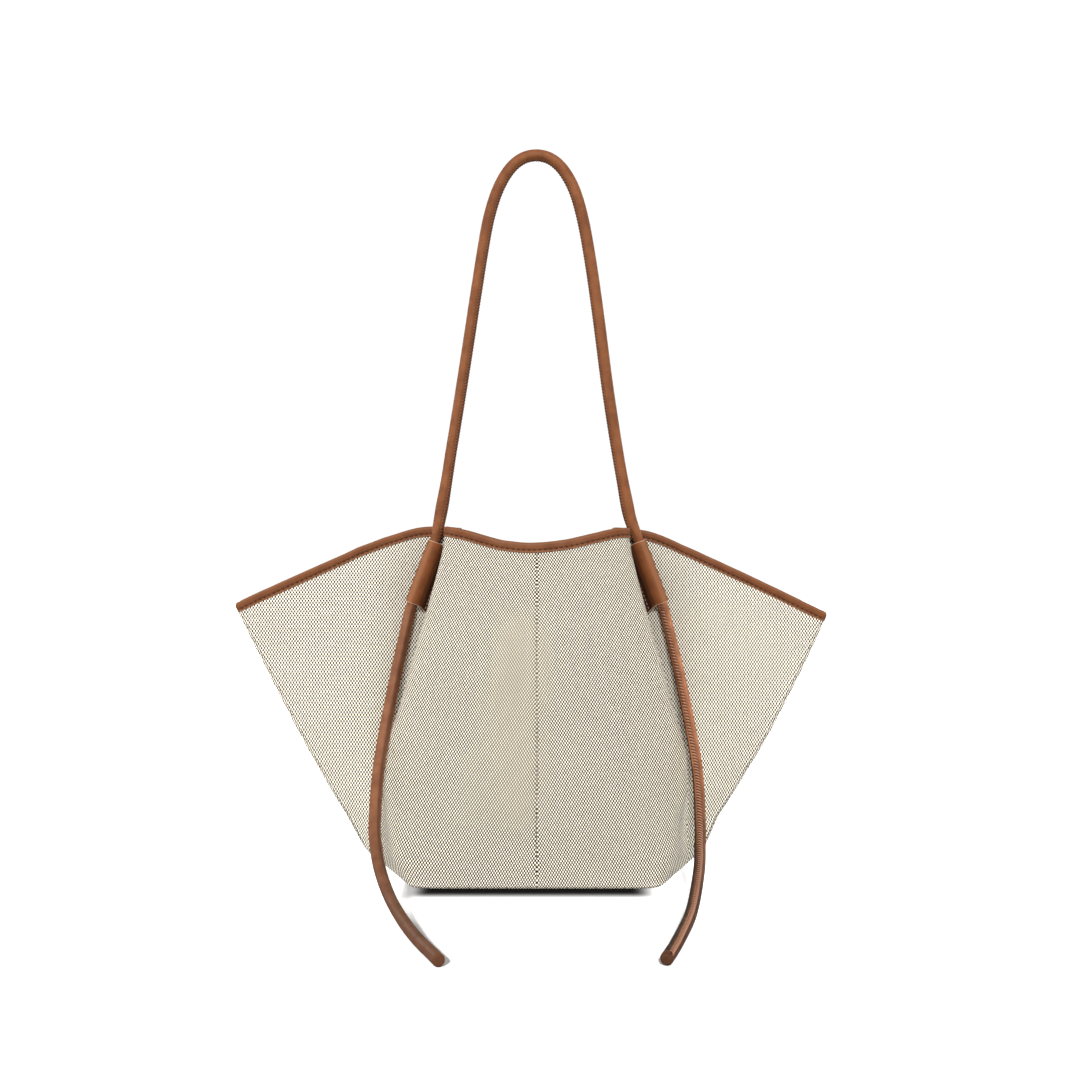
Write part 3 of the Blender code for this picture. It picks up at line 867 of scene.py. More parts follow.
@dataclass
class Studio:
    """Camera, floor, backdrop and soft lights."""

    eye: tuple = (0.0026, -1.250, 0.289)
    sensor: float = 36.0
    lens: float = 36.0 * 1437 / 1080
    aim: tuple = (0.0, 0.0, 0.3)
    floor_half: float = 6.0
    floor_drop: float = 0.0004
    dome_radius: float = 5.8
    surround: float = 0.42
    boxes: tuple = (
        SoftBox("left_box", (-1.9, -0.9, 0.8), (0.5, 1.2), 20.5, (1.0, 0.985, 0.950), True),
        SoftBox("right_box", (1.9, -0.9, 0.8), (0.5, 1.2), 13.0, (1.0, 0.985, 0.955), True),
        SoftBox("back_left_box", (-1.3, 1.8, 1.2), (0.9, 1.2), 17.0),
        SoftBox("back_right_box", (1.3, 1.8, 1.2), (0.9, 1.2), 17.0),
    )
    key: FarLight = FarLight("key_light", 2.25, radians(29), 0.0, radians(9))
    floor_lights: tuple = (
        FarLight("floor_light_left", 6.6, radians(26), -radians(13), radians(5)),
        FarLight("floor_light_right", 6.6, radians(26), radians(2), radians(5)),
    )
    stage: list = field(default_factory=list)

    def camera(self) -> None:
        """Make the level camera that looks at the bag's front."""
        data = bpy.data.cameras.new("front_view")
        data.lens = self.lens
        data.sensor_width = self.sensor
        data.sensor_fit = "HORIZONTAL"
        data.clip_start = 0.01
        camera = shown("front_view", data)
        camera.location = self.eye
        camera.rotation_euler = (radians(90), 0.0, 0.0)
        bpy.context.scene.camera = camera

    def set_stage(self) -> None:
        """Make the pale floor just under the bag, in two halves, and the white paper round it."""
        finish = FloorFinish().make()
        for side in Side:
            bpy.ops.mesh.primitive_plane_add(size=1.0, location=(side * self.floor_half / 2, 0.0, -self.floor_drop))
            half = bpy.context.object
            half.name = "floor_" + side.word
            half.scale = (self.floor_half, 2 * self.floor_half, 1.0)
            half.data.materials.append(finish)
            self.stage.append(half)
        bpy.ops.mesh.primitive_uv_sphere_add(segments=48, ring_count=24, radius=self.dome_radius)
        dome = bpy.context.object
        dome.name = "backdrop"
        bpy.ops.object.mode_set(mode="EDIT")
        bpy.ops.mesh.select_all(action="SELECT")
        bpy.ops.mesh.flip_normals()
        bpy.ops.object.mode_set(mode="OBJECT")
        dome.data.materials.append(BackdropFinish().make())
        dome.visible_shadow = False
        self.stage.append(dome)
        for piece in self.stage:
            bpy.ops.object.select_all(action="DESELECT")
            piece.select_set(True)
            bpy.context.view_layer.objects.active = piece
            bpy.ops.object.transform_apply(location=True, rotation=True, scale=True)
            piece.visible_diffuse = False
            piece.visible_glossy = False

    def lights(self) -> None:
        """Hang the lights and set the soft surround."""
        for box in self.boxes:
            box.hang(self.aim)
        for light in (self.key, *self.floor_lights):
            light.hang()
        world = bpy.data.worlds.new("soft_surround")
        world.use_nodes = True
        backdrop = world.node_tree.nodes["Background"]
        backdrop.inputs["Color"].default_value = (1.0, 1.0, 1.0, 1.0)
        backdrop.inputs["Strength"].default_value = self.surround
        bpy.context.scene.world = world
        bpy.context.scene.view_settings.view_transform = "Standard"

    def build(self) -> None:
        """Set up the studio."""
        self.camera()
        self.set_stage()
        self.lights()

    def share_lights(self) -> None:
        """Let the key and the boxes fall on the bag alone, and each floor light on its half of the floor.

        The side boxes shine past both tails, and only its own side's tail blocks a floor light.
        """
        meshes = (piece for piece in bpy.context.scene.objects if piece.type == "MESH")
        bag = gathered("bag_pieces", (piece for piece in meshes if piece not in self.stage))
        firm = gathered("shading_side_boxes", (piece for piece in bag.objects if "strap_tail" not in piece.name))
        for light in (self.key, *self.boxes):
            bpy.data.objects[light.name].light_linking.receiver_collection = bag
        for box in self.boxes:
            if box.past_tails:
                bpy.data.objects[box.name].light_linking.blocker_collection = firm
        for side, half, light in zip(Side, self.stage, self.floor_lights):
            tail = bpy.data.objects["strap_tail_" + side.word + "_leather"]
            linking = bpy.data.objects[light.name].light_linking
            linking.receiver_collection = gathered("ground_" + side.word, [half])
            linking.blocker_collection = gathered("shading_" + side.word, [tail])


# Stitches


@dataclass
class Stitch:
    """One stitch of thread, modelled once and laid wherever a seam has one."""

    sides: int = 6
    cuts: int = 3
    pinch: float = 0.5
    close: float = 0.01
    shape: Array = field(init=False)
    faces: list = field(init=False)

    def __post_init__(self) -> None:
        """Model the stitch: a short rod along X whose ends are pinched."""
        bpy.ops.mesh.primitive_cylinder_add(vertices=self.sides, radius=1.0, depth=1.0, rotation=(0.0, pi / 2, 0.0))
        bpy.ops.object.transform_apply(location=True, rotation=True, scale=True)
        rod = bpy.context.object
        ends = rod.data.vertices
        self.pick(rod, [abs(ends[a].co.x - ends[b].co.x) > self.close for a, b in rod.data.edge_keys], "edges")
        bpy.ops.mesh.subdivide(number_cuts=self.cuts)
        bpy.ops.object.mode_set(mode="OBJECT")
        for end in (-0.5, 0.5):
            self.pick(rod, [abs(point.co.x - end) < self.close for point in rod.data.vertices], "vertices")
            bpy.ops.transform.resize(value=(1.0, self.pinch, self.pinch))
            bpy.ops.object.mode_set(mode="OBJECT")
        self.shape = np.array([point.co[:] for point in rod.data.vertices])
        self.faces = [list(face.vertices) for face in rod.data.polygons]
        bpy.data.objects.remove(rod)

    def pick(self, rod: Object, chosen: Sequence[bool], kind: str) -> None:
        """Select parts of the rod and open it for shaping.

        Args:
            rod: the rod.
            chosen: one truth value for each part.
            kind: edges or vertices.
        """
        bpy.ops.object.mode_set(mode="EDIT")
        bpy.ops.mesh.select_mode(type="EDGE" if kind == "edges" else "VERT")
        bpy.ops.mesh.select_all(action="DESELECT")
        bpy.ops.object.mode_set(mode="OBJECT")
        for part, wanted in zip(getattr(rod.data, kind), chosen):
            part.select = bool(wanted)
        bpy.ops.object.mode_set(mode="EDIT")

    def lay(self, name: str, rows: Rows, radius: float, thread: Material) -> Object:
        """Lay one copy along each short line.

        Args:
            name: the piece's name.
            rows: for each stitch its line and the direction away from the cloth along it.
            radius: the thread's radius.
            thread: its material.

        Returns:
            One piece with every stitch.
        """
        blocks = []
        faces: list = []
        share = self.shape[:, 0] + 0.5
        for line, lift in rows:
            marks = np.linspace(0.0, 1.0, len(line))
            ahead = unit(np.gradient(line, axis=0))
            centre, along, up = (read_line(part, marks, share) for part in (line, ahead, lift))
            across = unit(np.cross(up, along))
            up = np.cross(along, across)
            first = len(blocks) * len(self.shape)
            blocks.append(centre + (across * self.shape[:, 1:2] + up * self.shape[:, 2:3]) * radius)
            faces += [[first + corner for corner in face] for face in self.faces]
        return add_piece(name, np.concatenate(blocks), faces, thread)


# Strap


@dataclass(frozen=True)
class TunnelLine:
    """Where a tunnel runs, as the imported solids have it."""

    length: float = 0.0565
    tilt: float = radians(20.5)
    foot_reach: float = 0.1074
    foot_height: float = 0.2346
    stand: float = 0.01205

    def axis(self, side: Side) -> Array:
        """Return the tunnel's upward direction."""
        return np.array([-side * sin(self.tilt), 0.0, cos(self.tilt)])

    def across(self, side: Side) -> Array:
        """Return the direction from the tunnel's axis to its sewn edge."""
        return np.array([-side * cos(self.tilt), 0.0, -sin(self.tilt)])

    def foot(self, side: Side) -> Array:
        """Return the centre of the lower mouth."""
        return np.array([side * self.foot_reach, -self.stand, self.foot_height])

    def mouth(self, side: Side) -> Array:
        """Return the centre of the upper mouth."""
        return self.foot(side) + self.axis(side) * self.length


@dataclass(frozen=True)
class RidgeRun:
    """Where a rolled strap's sewn ridge lies along its length, and how its thread crosses it."""

    runs: tuple
    degrees: tuple
    lean: float = 0.0011
    reach_runs: tuple = (0.0, 1.0)
    reaches: tuple = (0.50, 0.50)

    def angle(self, run: Array) -> Array:
        """Return the ridge's angle from the front at each distance."""
        return np.radians(np.interp(run, self.runs, self.degrees))

    def reach(self, run: float) -> float:
        """Return how far round the strap a stitch goes to each side of the ridge."""
        return float(np.interp(run, self.reach_runs, self.reaches))


@dataclass(frozen=True)
class Tail:
    """One free tail of the strap: its route to the ground, its ridge, the rounding of its tip and its finish."""

    route: tuple
    seam: RidgeRun
    tip: float
    finish: str


@dataclass
class RolledStrap:
    """The rolled leather strap: its shoulder arch and its two free tails."""

    finishes: Finishes
    line: TunnelLine = TunnelLine()
    stitch: Stitch = field(default_factory=Stitch)
    diameter: float = 0.009
    roll_radius: float = 0.00468
    ridge: float = 0.00120
    ridge_spread: float = 0.36
    ridge_dip: float = 0.30
    crease_at: float = 0.62
    crease_width: float = 0.20
    crease: float = 0.00016
    ring_step: float = 0.00068
    around: int = 36
    passes: int = 60
    stitch_pitch: float = 0.0027
    arch_thread: float = 0.00034
    tail_thread: float = 0.00046
    thread_points: int = 6
    thread_seat: float = 0.92
    thread_lift: float = 0.25
    thread_dip: float = 1.5
    hold: float = 0.0150
    hold_points: int = 12
    arch_points: int = 240
    route_cuts: int = 40
    ridge_rise: float = 0.008
    first_stitch: float = 0.006
    last_stitch: float = 0.004
    hinge_height: float = 0.3081
    foot_inset: float = 0.0054
    drop: float = 0.3129
    limb_lean: float = 0.0362
    limb_rise: float = 0.1710
    crown_handle: float = 0.0538
    arch_tip: float = 0.0015
    flare: float = 0.12
    flare_height: float = 0.318
    flare_width: float = 0.016
    sway_blend: float = 0.004
    arch_bend: tuple = (0.008, 0.032)
    tail_hinge_drop: float = 0.0050
    tail_bend: tuple = (0.008, 0.018)
    tip_flat: tuple = (0.008, 0.002)
    tip_fade: tuple = (0.010, 0.003)
    tip_rings: tuple = (0.0026, 0.0021, 0.0016, 0.0012, 0.00085, 0.00055, 0.0003, 0.00012, 0.00003, 0.0)
    tip_start: float = 0.0030
    cord_spans: int = 30
    sway_heights: tuple = (
        0.289, 0.308, 0.341, 0.363, 0.392, 0.427, 0.470, 0.513, 0.539, 0.565, 0.590, 0.606, 0.623
    )
    left_sway: tuple = (0.0, -1.55, -2.23, -2.85, -2.77, -2.31, -1.49, -0.88, -0.97, -1.62, -1.53, -0.97, -0.6)
    right_sway: tuple = (0.0, -1.94, -1.76, -1.68, -1.57, -1.57, -1.19, -1.06, -0.93, -0.5, 0.0, -0.41, -0.6)
    arch_seam: RidgeRun = RidgeRun(
        (0.0, 0.12, 0.26, 0.36, 0.46, 0.58, 0.66, 0.72), (62.0, 64.0, 70.0, 84.0, 96.0, 92.0, 78.0, 72.0)
    )
    left_tail: Tail = Tail(
        route=(
            (-0.1207, -0.0240, 0.1738), (-0.1315, -0.0500, 0.1053),
            (-0.1317, -0.0850, 0.0620), (-0.1286, -0.1050, 0.0460),
            (-0.1221, -0.1300, 0.0310), (-0.1088, -0.1680, 0.0164),
            (-0.0890, -0.2220, 0.0080), (-0.0656, -0.2790, 0.0047),
        ),
        seam=RidgeRun((0.0, 0.10, 0.43), (-95.0, -105.0, -125.0)),
        tip=0.0015,
        finish="plain_strap",
    )
    right_tail: Tail = Tail(
        route=(
            (0.1229, -0.0240, 0.1678), (0.1330, -0.0520, 0.1022),
            (0.1323, -0.0850, 0.0620), (0.1301, -0.1050, 0.0460),
            (0.1263, -0.1320, 0.0315), (0.1150, -0.1850, 0.0138),
            (0.0990, -0.2420, 0.0070), (0.0879, -0.2770, 0.0047),
        ),
        seam=RidgeRun(
            (0.0, 0.10, 0.15, 0.20, 0.25, 0.30, 0.36, 0.43),
            (17.0, 15.0, 9.0, 0.0, -8.0, -14.0, -24.0, -40.0),
            -0.0026,
            (0.03, 0.15, 0.25),
            (0.30, 0.40, 0.50),
        ),
        tip=0.0030,
        finish="slanted_lit_strap",
    )

    def arch_hinge(self) -> Vector:
        """Return the point above the rim where the right limb bends."""
        reach = self.line.foot_reach - self.line.length * sin(self.line.tilt) - self.foot_inset
        return Vector((reach, -self.line.stand, self.hinge_height))

    def tail_hinge(self, side: Side) -> Array:
        """Return the point below the lower mouth where a tail bends."""
        return self.line.foot(side) - self.line.axis(side) * self.tail_hinge_drop

    def held(self, mouth: Array, inward: Array) -> Array:
        """Return the short straight line of the strap inside a tunnel, out to its mouth."""
        return np.linspace(mouth + inward * self.hold, mouth, self.hold_points)

    def arch_line(self) -> Array:
        """Return the strap's line from inside the left tunnel over the crown into the right one."""
        hinge = self.arch_hinge()
        crown = Vector((0.0, hinge.y, hinge.z + self.drop))
        limb = hinge + Vector((-self.limb_lean, 0.0, self.limb_rise))
        handle = crown + Vector((self.crown_handle, 0.0, 0.0))
        curve = interpolate_bezier(hinge, limb, handle, crown, self.arch_points)
        over = np.array([tuple(point) for point in curve])
        start = self.held(self.line.mouth(Side.RIGHT), -self.line.axis(Side.RIGHT))
        half = np.concatenate([start, over])
        even = evenly(np.concatenate([half * MIRROR, half[-2::-1]]), self.ring_step)
        left = np.interp(even[:, 2], self.sway_heights, self.left_sway)
        right = np.interp(even[:, 2], self.sway_heights, self.right_sway)
        blend = smooth_step(-self.sway_blend, self.sway_blend, even[:, 0])
        even[:, 0] += (left * (1 - blend) + right * blend) / 1000
        return evenly(eased(even, self.passes), self.ring_step)

    def tail_line(self, side: Side, tail: Tail) -> Array:
        """Return a tail's line from inside its tunnel to its tip on the ground.

        Args:
            side: the side that it hangs on.
            tail: its route.

        Returns:
            The line's points, close together where the tip is rounded.
        """
        route = [self.tail_hinge(side)] + [np.array(point) for point in tail.route]
        points = [2 * route[0] - route[1], *route, 2 * route[-1] - route[-2]]
        dense = [
            catmull_rom(*points[span : span + 4], share)
            for span in range(len(route) - 1)
            for share in np.arange(self.route_cuts) / self.route_cuts
        ]
        start = self.held(self.line.foot(side), self.line.axis(side))
        line = eased(evenly(np.concatenate([start, dense, route[-1:]]), self.ring_step), self.passes)
        run = travelled(line)
        marks = np.concatenate([run[run < run[-1] - self.tip_start], run[-1] - np.array(self.tip_rings)])
        return read_line(line, run, marks)

    def frames(self, line: Array) -> tuple[Array, Array]:
        """Carry two directions square to a line along it.

        Args:
            line: the line.

        Returns:
            The direction that starts to the front, at each point, and the one beside it.
        """
        ahead = unit(np.gradient(line, axis=0))
        front = np.zeros_like(line)
        carried = np.array([0.0, -1.0, 0.0])
        for i, direction in enumerate(ahead):
            carried = carried - direction * (carried @ direction)
            carried = carried / np.linalg.norm(carried)
            front[i] = carried
        return front, np.cross(ahead, front)

    def roll_shape(self, offset: Array, ridge: Array) -> Array:
        """Return the strap's radius at an angle from its sewn ridge."""
        crease = self.crease * bell(np.abs(offset), self.crease_at, self.crease_width)
        return self.roll_radius + ridge * bell(offset, 0.0, self.ridge_spread) - crease * (ridge > 0)

    def end_rounding(self, run: Array, tip: float) -> Array:
        """Return the share of its radius that the strap keeps near each end."""
        inner = np.clip(tip - np.minimum(run, run[-1] - run), 0.0, tip)
        return 1 - (tip - np.sqrt(np.maximum(tip**2 - inner**2, 0.0))) / self.roll_radius

    def sleeve(
        self, name: str, line: Array, seam: RidgeRun, shown: Array, tip: float, finish: Material
    ) -> Object:
        """Make a stretch of rolled leather with its sewn ridge.

        Args:
            name: the piece's name.
            line: its even centre line.
            seam: where the ridge lies.
            shown: the share of the ridge that isn't pressed flat at each point.
            tip: how far the ends are rounded.
            finish: its leather.

        Returns:
            The piece.
        """
        front, side = self.frames(line)
        run = travelled(line)
        count = self.around
        offsets = -pi + 2 * pi * np.arange(count) / count
        sewn = 1 - self.ridge_dip * (0.5 + 0.5 * np.cos(2 * pi * run / self.stitch_pitch))
        radius = self.roll_shape(offsets[None, :], (self.ridge * shown * sewn)[:, None])
        flare = 1 + self.flare * bell(line[:, 2], self.flare_height, self.flare_width)
        radius = (radius * (flare * self.end_rounding(run, tip))[:, None])[..., None]
        angle = (seam.angle(run)[:, None] + offsets[None, :])[..., None]
        ring = line[:, None, :] + radius * (np.cos(angle) * front[:, None, :] + np.sin(angle) * side[:, None, :])
        last = (len(line) - 1) * count
        faces = grid_faces(len(line), count, flip=False, closed=True).tolist()
        faces += [list(range(count))[::-1], list(range(last, last + count))]
        sleeve = add_piece(name, ring.reshape(-1, 3), faces, finish)
        low = np.repeat(np.arange(len(line) - 1), count)
        ends = np.stack([low, low, low + 1, low + 1], axis=1)
        near = offsets[np.tile(np.arange(count), len(line) - 1)]
        far = near + 2 * pi / count
        places = np.stack([near, far, far, near], axis=1)
        fade = smooth_step(run[-1] - self.tip_fade[0], run[-1] - self.tip_fade[1], run)[ends]
        places = places + (np.sign(places) * pi - places) * fade
        corners = np.stack([run[ends], places], axis=-1).reshape(-1, 2)
        caps = np.repeat([[run[0], pi], [run[-1], pi]], count, axis=0)
        set_map(sleeve, "run", np.concatenate([corners, caps]))
        return sleeve

    def stitches(
        self, name: str, line: Array, seam: RidgeRun, last: float, radius: float, finish: Material
    ) -> Object:
        """Sew thread bars across the ridge, one for each pitch.

        Args:
            name: the piece's name.
            line: the strap's centre line.
            seam: where the ridge lies.
            last: the distance at which the sewing stops.
            radius: the thread's radius.
            finish: the thread's material.

        Returns:
            The piece.
        """
        front, side = self.frames(line)
        run = travelled(line)
        rows = []
        first = round((self.hold + self.first_stitch) / self.stitch_pitch) * self.stitch_pitch
        for mark in np.arange(first, last, self.stitch_pitch) + self.stitch_pitch / 2:
            offsets = np.linspace(-1.0, 1.0, self.thread_points) * seam.reach(mark)
            crossing = mark + offsets * seam.lean
            index = np.clip(np.searchsorted(run, crossing), 0, len(run) - 1)
            height = self.roll_shape(offsets, np.full(len(offsets), self.ridge * self.thread_seat))
            height += radius * self.thread_lift
            height[[0, -1]] -= radius * self.thread_dip
            angle = (seam.angle(crossing) + offsets)[:, None]
            lift = unit(np.cos(angle) * front[index] + np.sin(angle) * side[index])
            rows.append((read_line(line, run, crossing) + height[:, None] * lift, lift))
        return self.stitch.lay(name, rows, radius, finish)

    def build(self) -> None:
        """Make the arch and both tails with their stitches."""
        self.build_arch()
        self.build_tail(Side.LEFT, self.left_tail)
        self.build_tail(Side.RIGHT, self.right_tail)

    def build_arch(self) -> None:
        """Make the shoulder arch, which bends at the rim, and hide the strap inside the tunnels."""
        line = self.arch_line()
        run = travelled(line)
        hold, end = self.hold, run[-1]
        shown = smooth_step(hold, hold + self.ridge_rise, np.minimum(run, end - run))
        arch = self.sleeve("strap_arch_leather", line, self.arch_seam, shown, self.arch_tip, self.finishes.strap)
        last = end - hold - self.first_stitch
        thread = self.finishes.red_thread
        sewn = self.stitches("strap_arch_stitches", line, self.arch_seam, last, self.arch_thread, thread)
        mouth = float(self.line.mouth(Side.RIGHT)[2])
        for piece in (arch, sewn):
            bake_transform(piece)
        stubs = ["strap_stub_" + side.word + part for side in Side for part in ("", "_core")]
        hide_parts(ARCH, "strap_arch_core", *stubs)
        LOG.info("strap arch: %.3f m", end - 2 * hold)

    def build_tail(self, side: Side, tail: Tail) -> None:
        """Make one free tail.

        Args:
            side: which side it hangs on.
            tail: its route and ridge.
        """
        name = "strap_tail_" + side.word
        line = self.tail_line(side, tail)
        run = travelled(line)
        hold, end = self.hold, run[-1]
        flat = (end - self.tip_flat[0], end - self.tip_flat[1])
        shown = window(run, (hold, hold + self.ridge_rise), flat)
        finish = getattr(self.finishes, tail.finish)
        leather = self.sleeve(name + "_leather", line, tail.seam, shown, tail.tip, finish)
        last = end - self.last_stitch
        sewn = self.stitches(name + "_stitches", line, tail.seam, last, self.tail_thread, self.finishes.tan_thread)
        hinge, axis = self.tail_hinge(side), self.line.axis(side)
        for piece in (leather, sewn):
            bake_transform(piece)
        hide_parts(name, name + "_core")
        tuple(self.line.foot(side).tolist())
        LOG.info("tail %s: %.3f m free", side.word, end - hold)


# Canvas


class Column(IntEnum):
    """Where a panel's rows turn from front to wall, root and wing, and where its base turns at the corner."""

    CORNER = 6
    FOLD = 10
    WALL = 13
    ROOT = 16
    EDGE = 21


@dataclass(frozen=True)
class Level:
    """One height of a panel half, from the centre seam out to the side seam."""

    centre_height: float
    fold_height: float
    edge_height: float
    centre_depth: float
    fold_reach: float
    fold_depth: float
    stand: float = 0.005
    edge_stand: float = 0.00085


def bezier_pair(knots: Sequence[tuple], share: float) -> tuple[float, float]:
    """Return the point at a share of a curve in plan."""
    rest = 1 - share
    weights = (rest**3, 3 * rest * rest * share, 3 * rest * share * share, share**3)
    reach, depth = (sum(weight * knot[part] for weight, knot in zip(weights, knots)) for part in (0, 1))
    return reach, depth


@dataclass(frozen=True)
class ShellShape:
    """The canvas shell's form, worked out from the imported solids' sizes."""

    canvas: float = 0.0014
    seam_level: float = 0.0007
    seat_gap: float = 0.0003
    edge_stand: float = 0.00085
    base_length: float = 0.206
    base_depth: float = 0.1225
    base_roll: float = 0.0028
    corner_reach: float = 0.142
    corner_rise: float = 0.017
    corner_roll: float = 0.002
    wing_reach: float = 0.2545
    wing_tip_height: float = 0.229
    wing_bow: float = 0.0045
    wing_turn: float = 0.030
    wing_turn_round: float = 0.015
    rim_reach: float = 0.0775
    fullness: float = 0.62
    dip_spread: float = 1.25
    root_radius: float = 0.0042
    root_tuck: float = 0.006
    binding_foot: float = 0.009
    flange: float = 0.015
    tunnel: TunnelLine = TunnelLine()
    levels: tuple = (
        Level(0.084, 0.084, 0.062, 0.062, 0.1293, 0.034, 0.015),
        Level(0.163, 0.163, 0.118, 0.057, 0.1113, 0.031, 0.009),
        Level(0.231, 0.231, 0.178, 0.049, 0.0925, 0.028),
        Level(0.268, 0.277, 0.213, 0.0425, 0.0805, 0.025, 0.005, 0.00225),
        Level(0.285, 0.2994, 0.229, 0.040, 0.0775, 0.022, 0.005, 0.00225),
    )

    def wing_edge(self, height: float) -> float:
        """Return the side seam's reach at a height."""
        share = (height - self.corner_rise) / (self.wing_tip_height - self.corner_rise)
        straight = (self.wing_reach - self.corner_reach) * share
        return self.corner_reach + straight + 4 * self.wing_bow * share * (1 - share)

    def root_reach(self, level: Level) -> float:
        """Return where the wing starts at a level, which follows the tunnel's sewn edge."""
        tilt = self.tunnel.tilt
        foot_reach = self.tunnel.foot_reach - self.flange * cos(tilt)
        foot_height = self.tunnel.foot_height - self.flange * sin(tilt)
        sewn = foot_reach - (level.fold_height - foot_height) * sin(tilt) / cos(tilt)
        return min(max(sewn, level.fold_reach - self.root_tuck), level.fold_reach)

    def soft_ramp(self, distance: float) -> float:
        """Return zero well before the turn and the distance itself well after it."""
        return 0.5 * (distance + sqrt(distance**2 + self.wing_turn_round**2))

    def wing_fall(self, reach: float, start: float, end: float) -> float:
        """Return the share of its fall that the wing's line has made at a reach."""
        turn = start + self.wing_turn * (end - start) / (self.wing_reach - self.rim_reach)
        made, whole = (self.soft_ramp(at - turn) - self.soft_ramp(start - turn) for at in (reach, end))
        return made / whole

    def level_point(self, level: Level, column: float) -> tuple[float, float, float]:
        """Return a level's point at a column.

        Args:
            level: the level.
            column: where it is, as the Column marks say.

        Returns:
            Its reach, depth and height.
        """
        fold = (level.fold_reach, level.fold_depth)
        start = self.root_reach(level)
        foot = (start - self.root_radius, level.stand + self.root_radius)
        if column <= Column.FOLD:
            bulge = level.centre_depth - level.fold_depth
            knots = (
                (0.0, level.centre_depth),
                (level.fold_reach * self.fullness, level.centre_depth),
                (level.fold_reach, level.fold_depth + bulge * self.fullness),
                fold,
            )
            reach, depth = bezier_pair(knots, column / Column.FOLD)
            rise = 0.5 - 0.5 * cos(pi * (reach / level.fold_reach) ** self.dip_spread)
            return reach, depth, level.centre_height + (level.fold_height - level.centre_height) * rise
        if column <= Column.WALL:
            halfway = (level.fold_depth + foot[1]) / 2
            knots = (fold, (fold[0], halfway), (foot[0], halfway), foot)
            share = (column - Column.FOLD) / (Column.WALL - Column.FOLD)
            return *bezier_pair(knots, share), level.fold_height
        if column <= Column.ROOT:
            angle = (column - Column.WALL) / (Column.ROOT - Column.WALL) * pi / 2
            reach = start - self.root_radius * cos(angle)
            return reach, foot[1] - self.root_radius * sin(angle), level.fold_height
        share = (column - Column.ROOT) / (Column.EDGE - Column.ROOT)
        end = self.wing_edge(level.edge_height)
        reach = start + (end - start) * share
        depth = level.edge_stand + (level.stand - level.edge_stand) * (1 - share**2)
        height = level.fold_height + (level.edge_height - level.fold_height) * self.wing_fall(reach, start, end)
        return reach, depth, height

    def base_outline(self, inset_front: float, inset_corner: float) -> tuple[Vector, Vector, Vector]:
        """Return the base's front middle, front corner and wing tip, drawn in.

        Args:
            inset_front: how far the front edge is drawn in.
            inset_corner: how far the slanted edge is drawn in.

        Returns:
            The three points in plan.
        """
        corner = Vector((self.base_length / 2, -self.base_depth / 2))
        tip = Vector((self.corner_reach, 0.0))
        slant = (tip - corner).normalized()
        shifted = corner + Vector((-slant.y, slant.x)) * inset_corner
        front = -self.base_depth / 2 + inset_front
        corner_in, tip_in = (shifted + slant * ((depth - shifted.y) / slant.y) for depth in (front, 0.0))
        return Vector((0.0, front)), corner_in, tip_in

    def floor_point(self, column: float, roll_share: float) -> tuple[float, float, float]:
        """Return the panel's point along the base.

        Args:
            column: where it is, as the Column marks say.
            roll_share: 0 at the base seam, 1 at the wall's foot.

        Returns:
            Its reach, depth and height.
        """
        draw_in = 1 - sin(roll_share * pi / 2)
        lift = 1 - cos(roll_share * pi / 2)
        middle, corner, tip = self.base_outline(self.base_roll * draw_in, self.corner_roll * draw_in)
        rise = max(column - Column.CORNER, 0.0) / (Column.EDGE - Column.CORNER)
        place = middle.lerp(corner, column / Column.CORNER) if column <= Column.CORNER else corner.lerp(tip, rise)
        blend = min(max(column - Column.CORNER + 1, 0.0), 1.0)
        roll = self.base_roll + (self.corner_roll - self.base_roll) * blend
        height = self.seam_level + self.corner_rise * rise + roll * lift
        return place.x, max(-place.y, self.edge_stand), height

    def rows(self, columns: Array, positions: Array) -> Array:
        """Return a grid of points, one row for each position.

        Args:
            columns: where each column runs.
            positions: -1 to 0 round the base's roll, then one for each level up to 5 at the rim.

        Returns:
            Points by row and column, with depth towards the front as a positive number.
        """
        knots = [[self.floor_point(column, 1.0) for column in columns]]
        knots += [[self.level_point(level, column) for column in columns] for level in self.levels]
        stack = np.array(knots)
        stack = np.stack([2 * stack[0] - stack[1], *stack, 2 * stack[-1] - stack[-2]])
        grid = []
        for position in positions:
            if position < 0:
                grid.append(np.array([self.floor_point(column, 1 + position) for column in columns]))
            else:
                span = min(int(position), len(self.levels) - 1)
                grid.append(catmull_rom(*stack[span : span + 4], position - span))
        return np.array(grid)

    def foot_position(self) -> float:
        """Return the position just below the binding, where its sides point."""
        rim = len(self.levels)
        upper = self.rows(np.arange(Column.EDGE + 1.0), np.array([rim - 1.0, rim]))
        return rim - self.binding_foot / float(np.linalg.norm(upper[1] - upper[0], axis=1).mean())


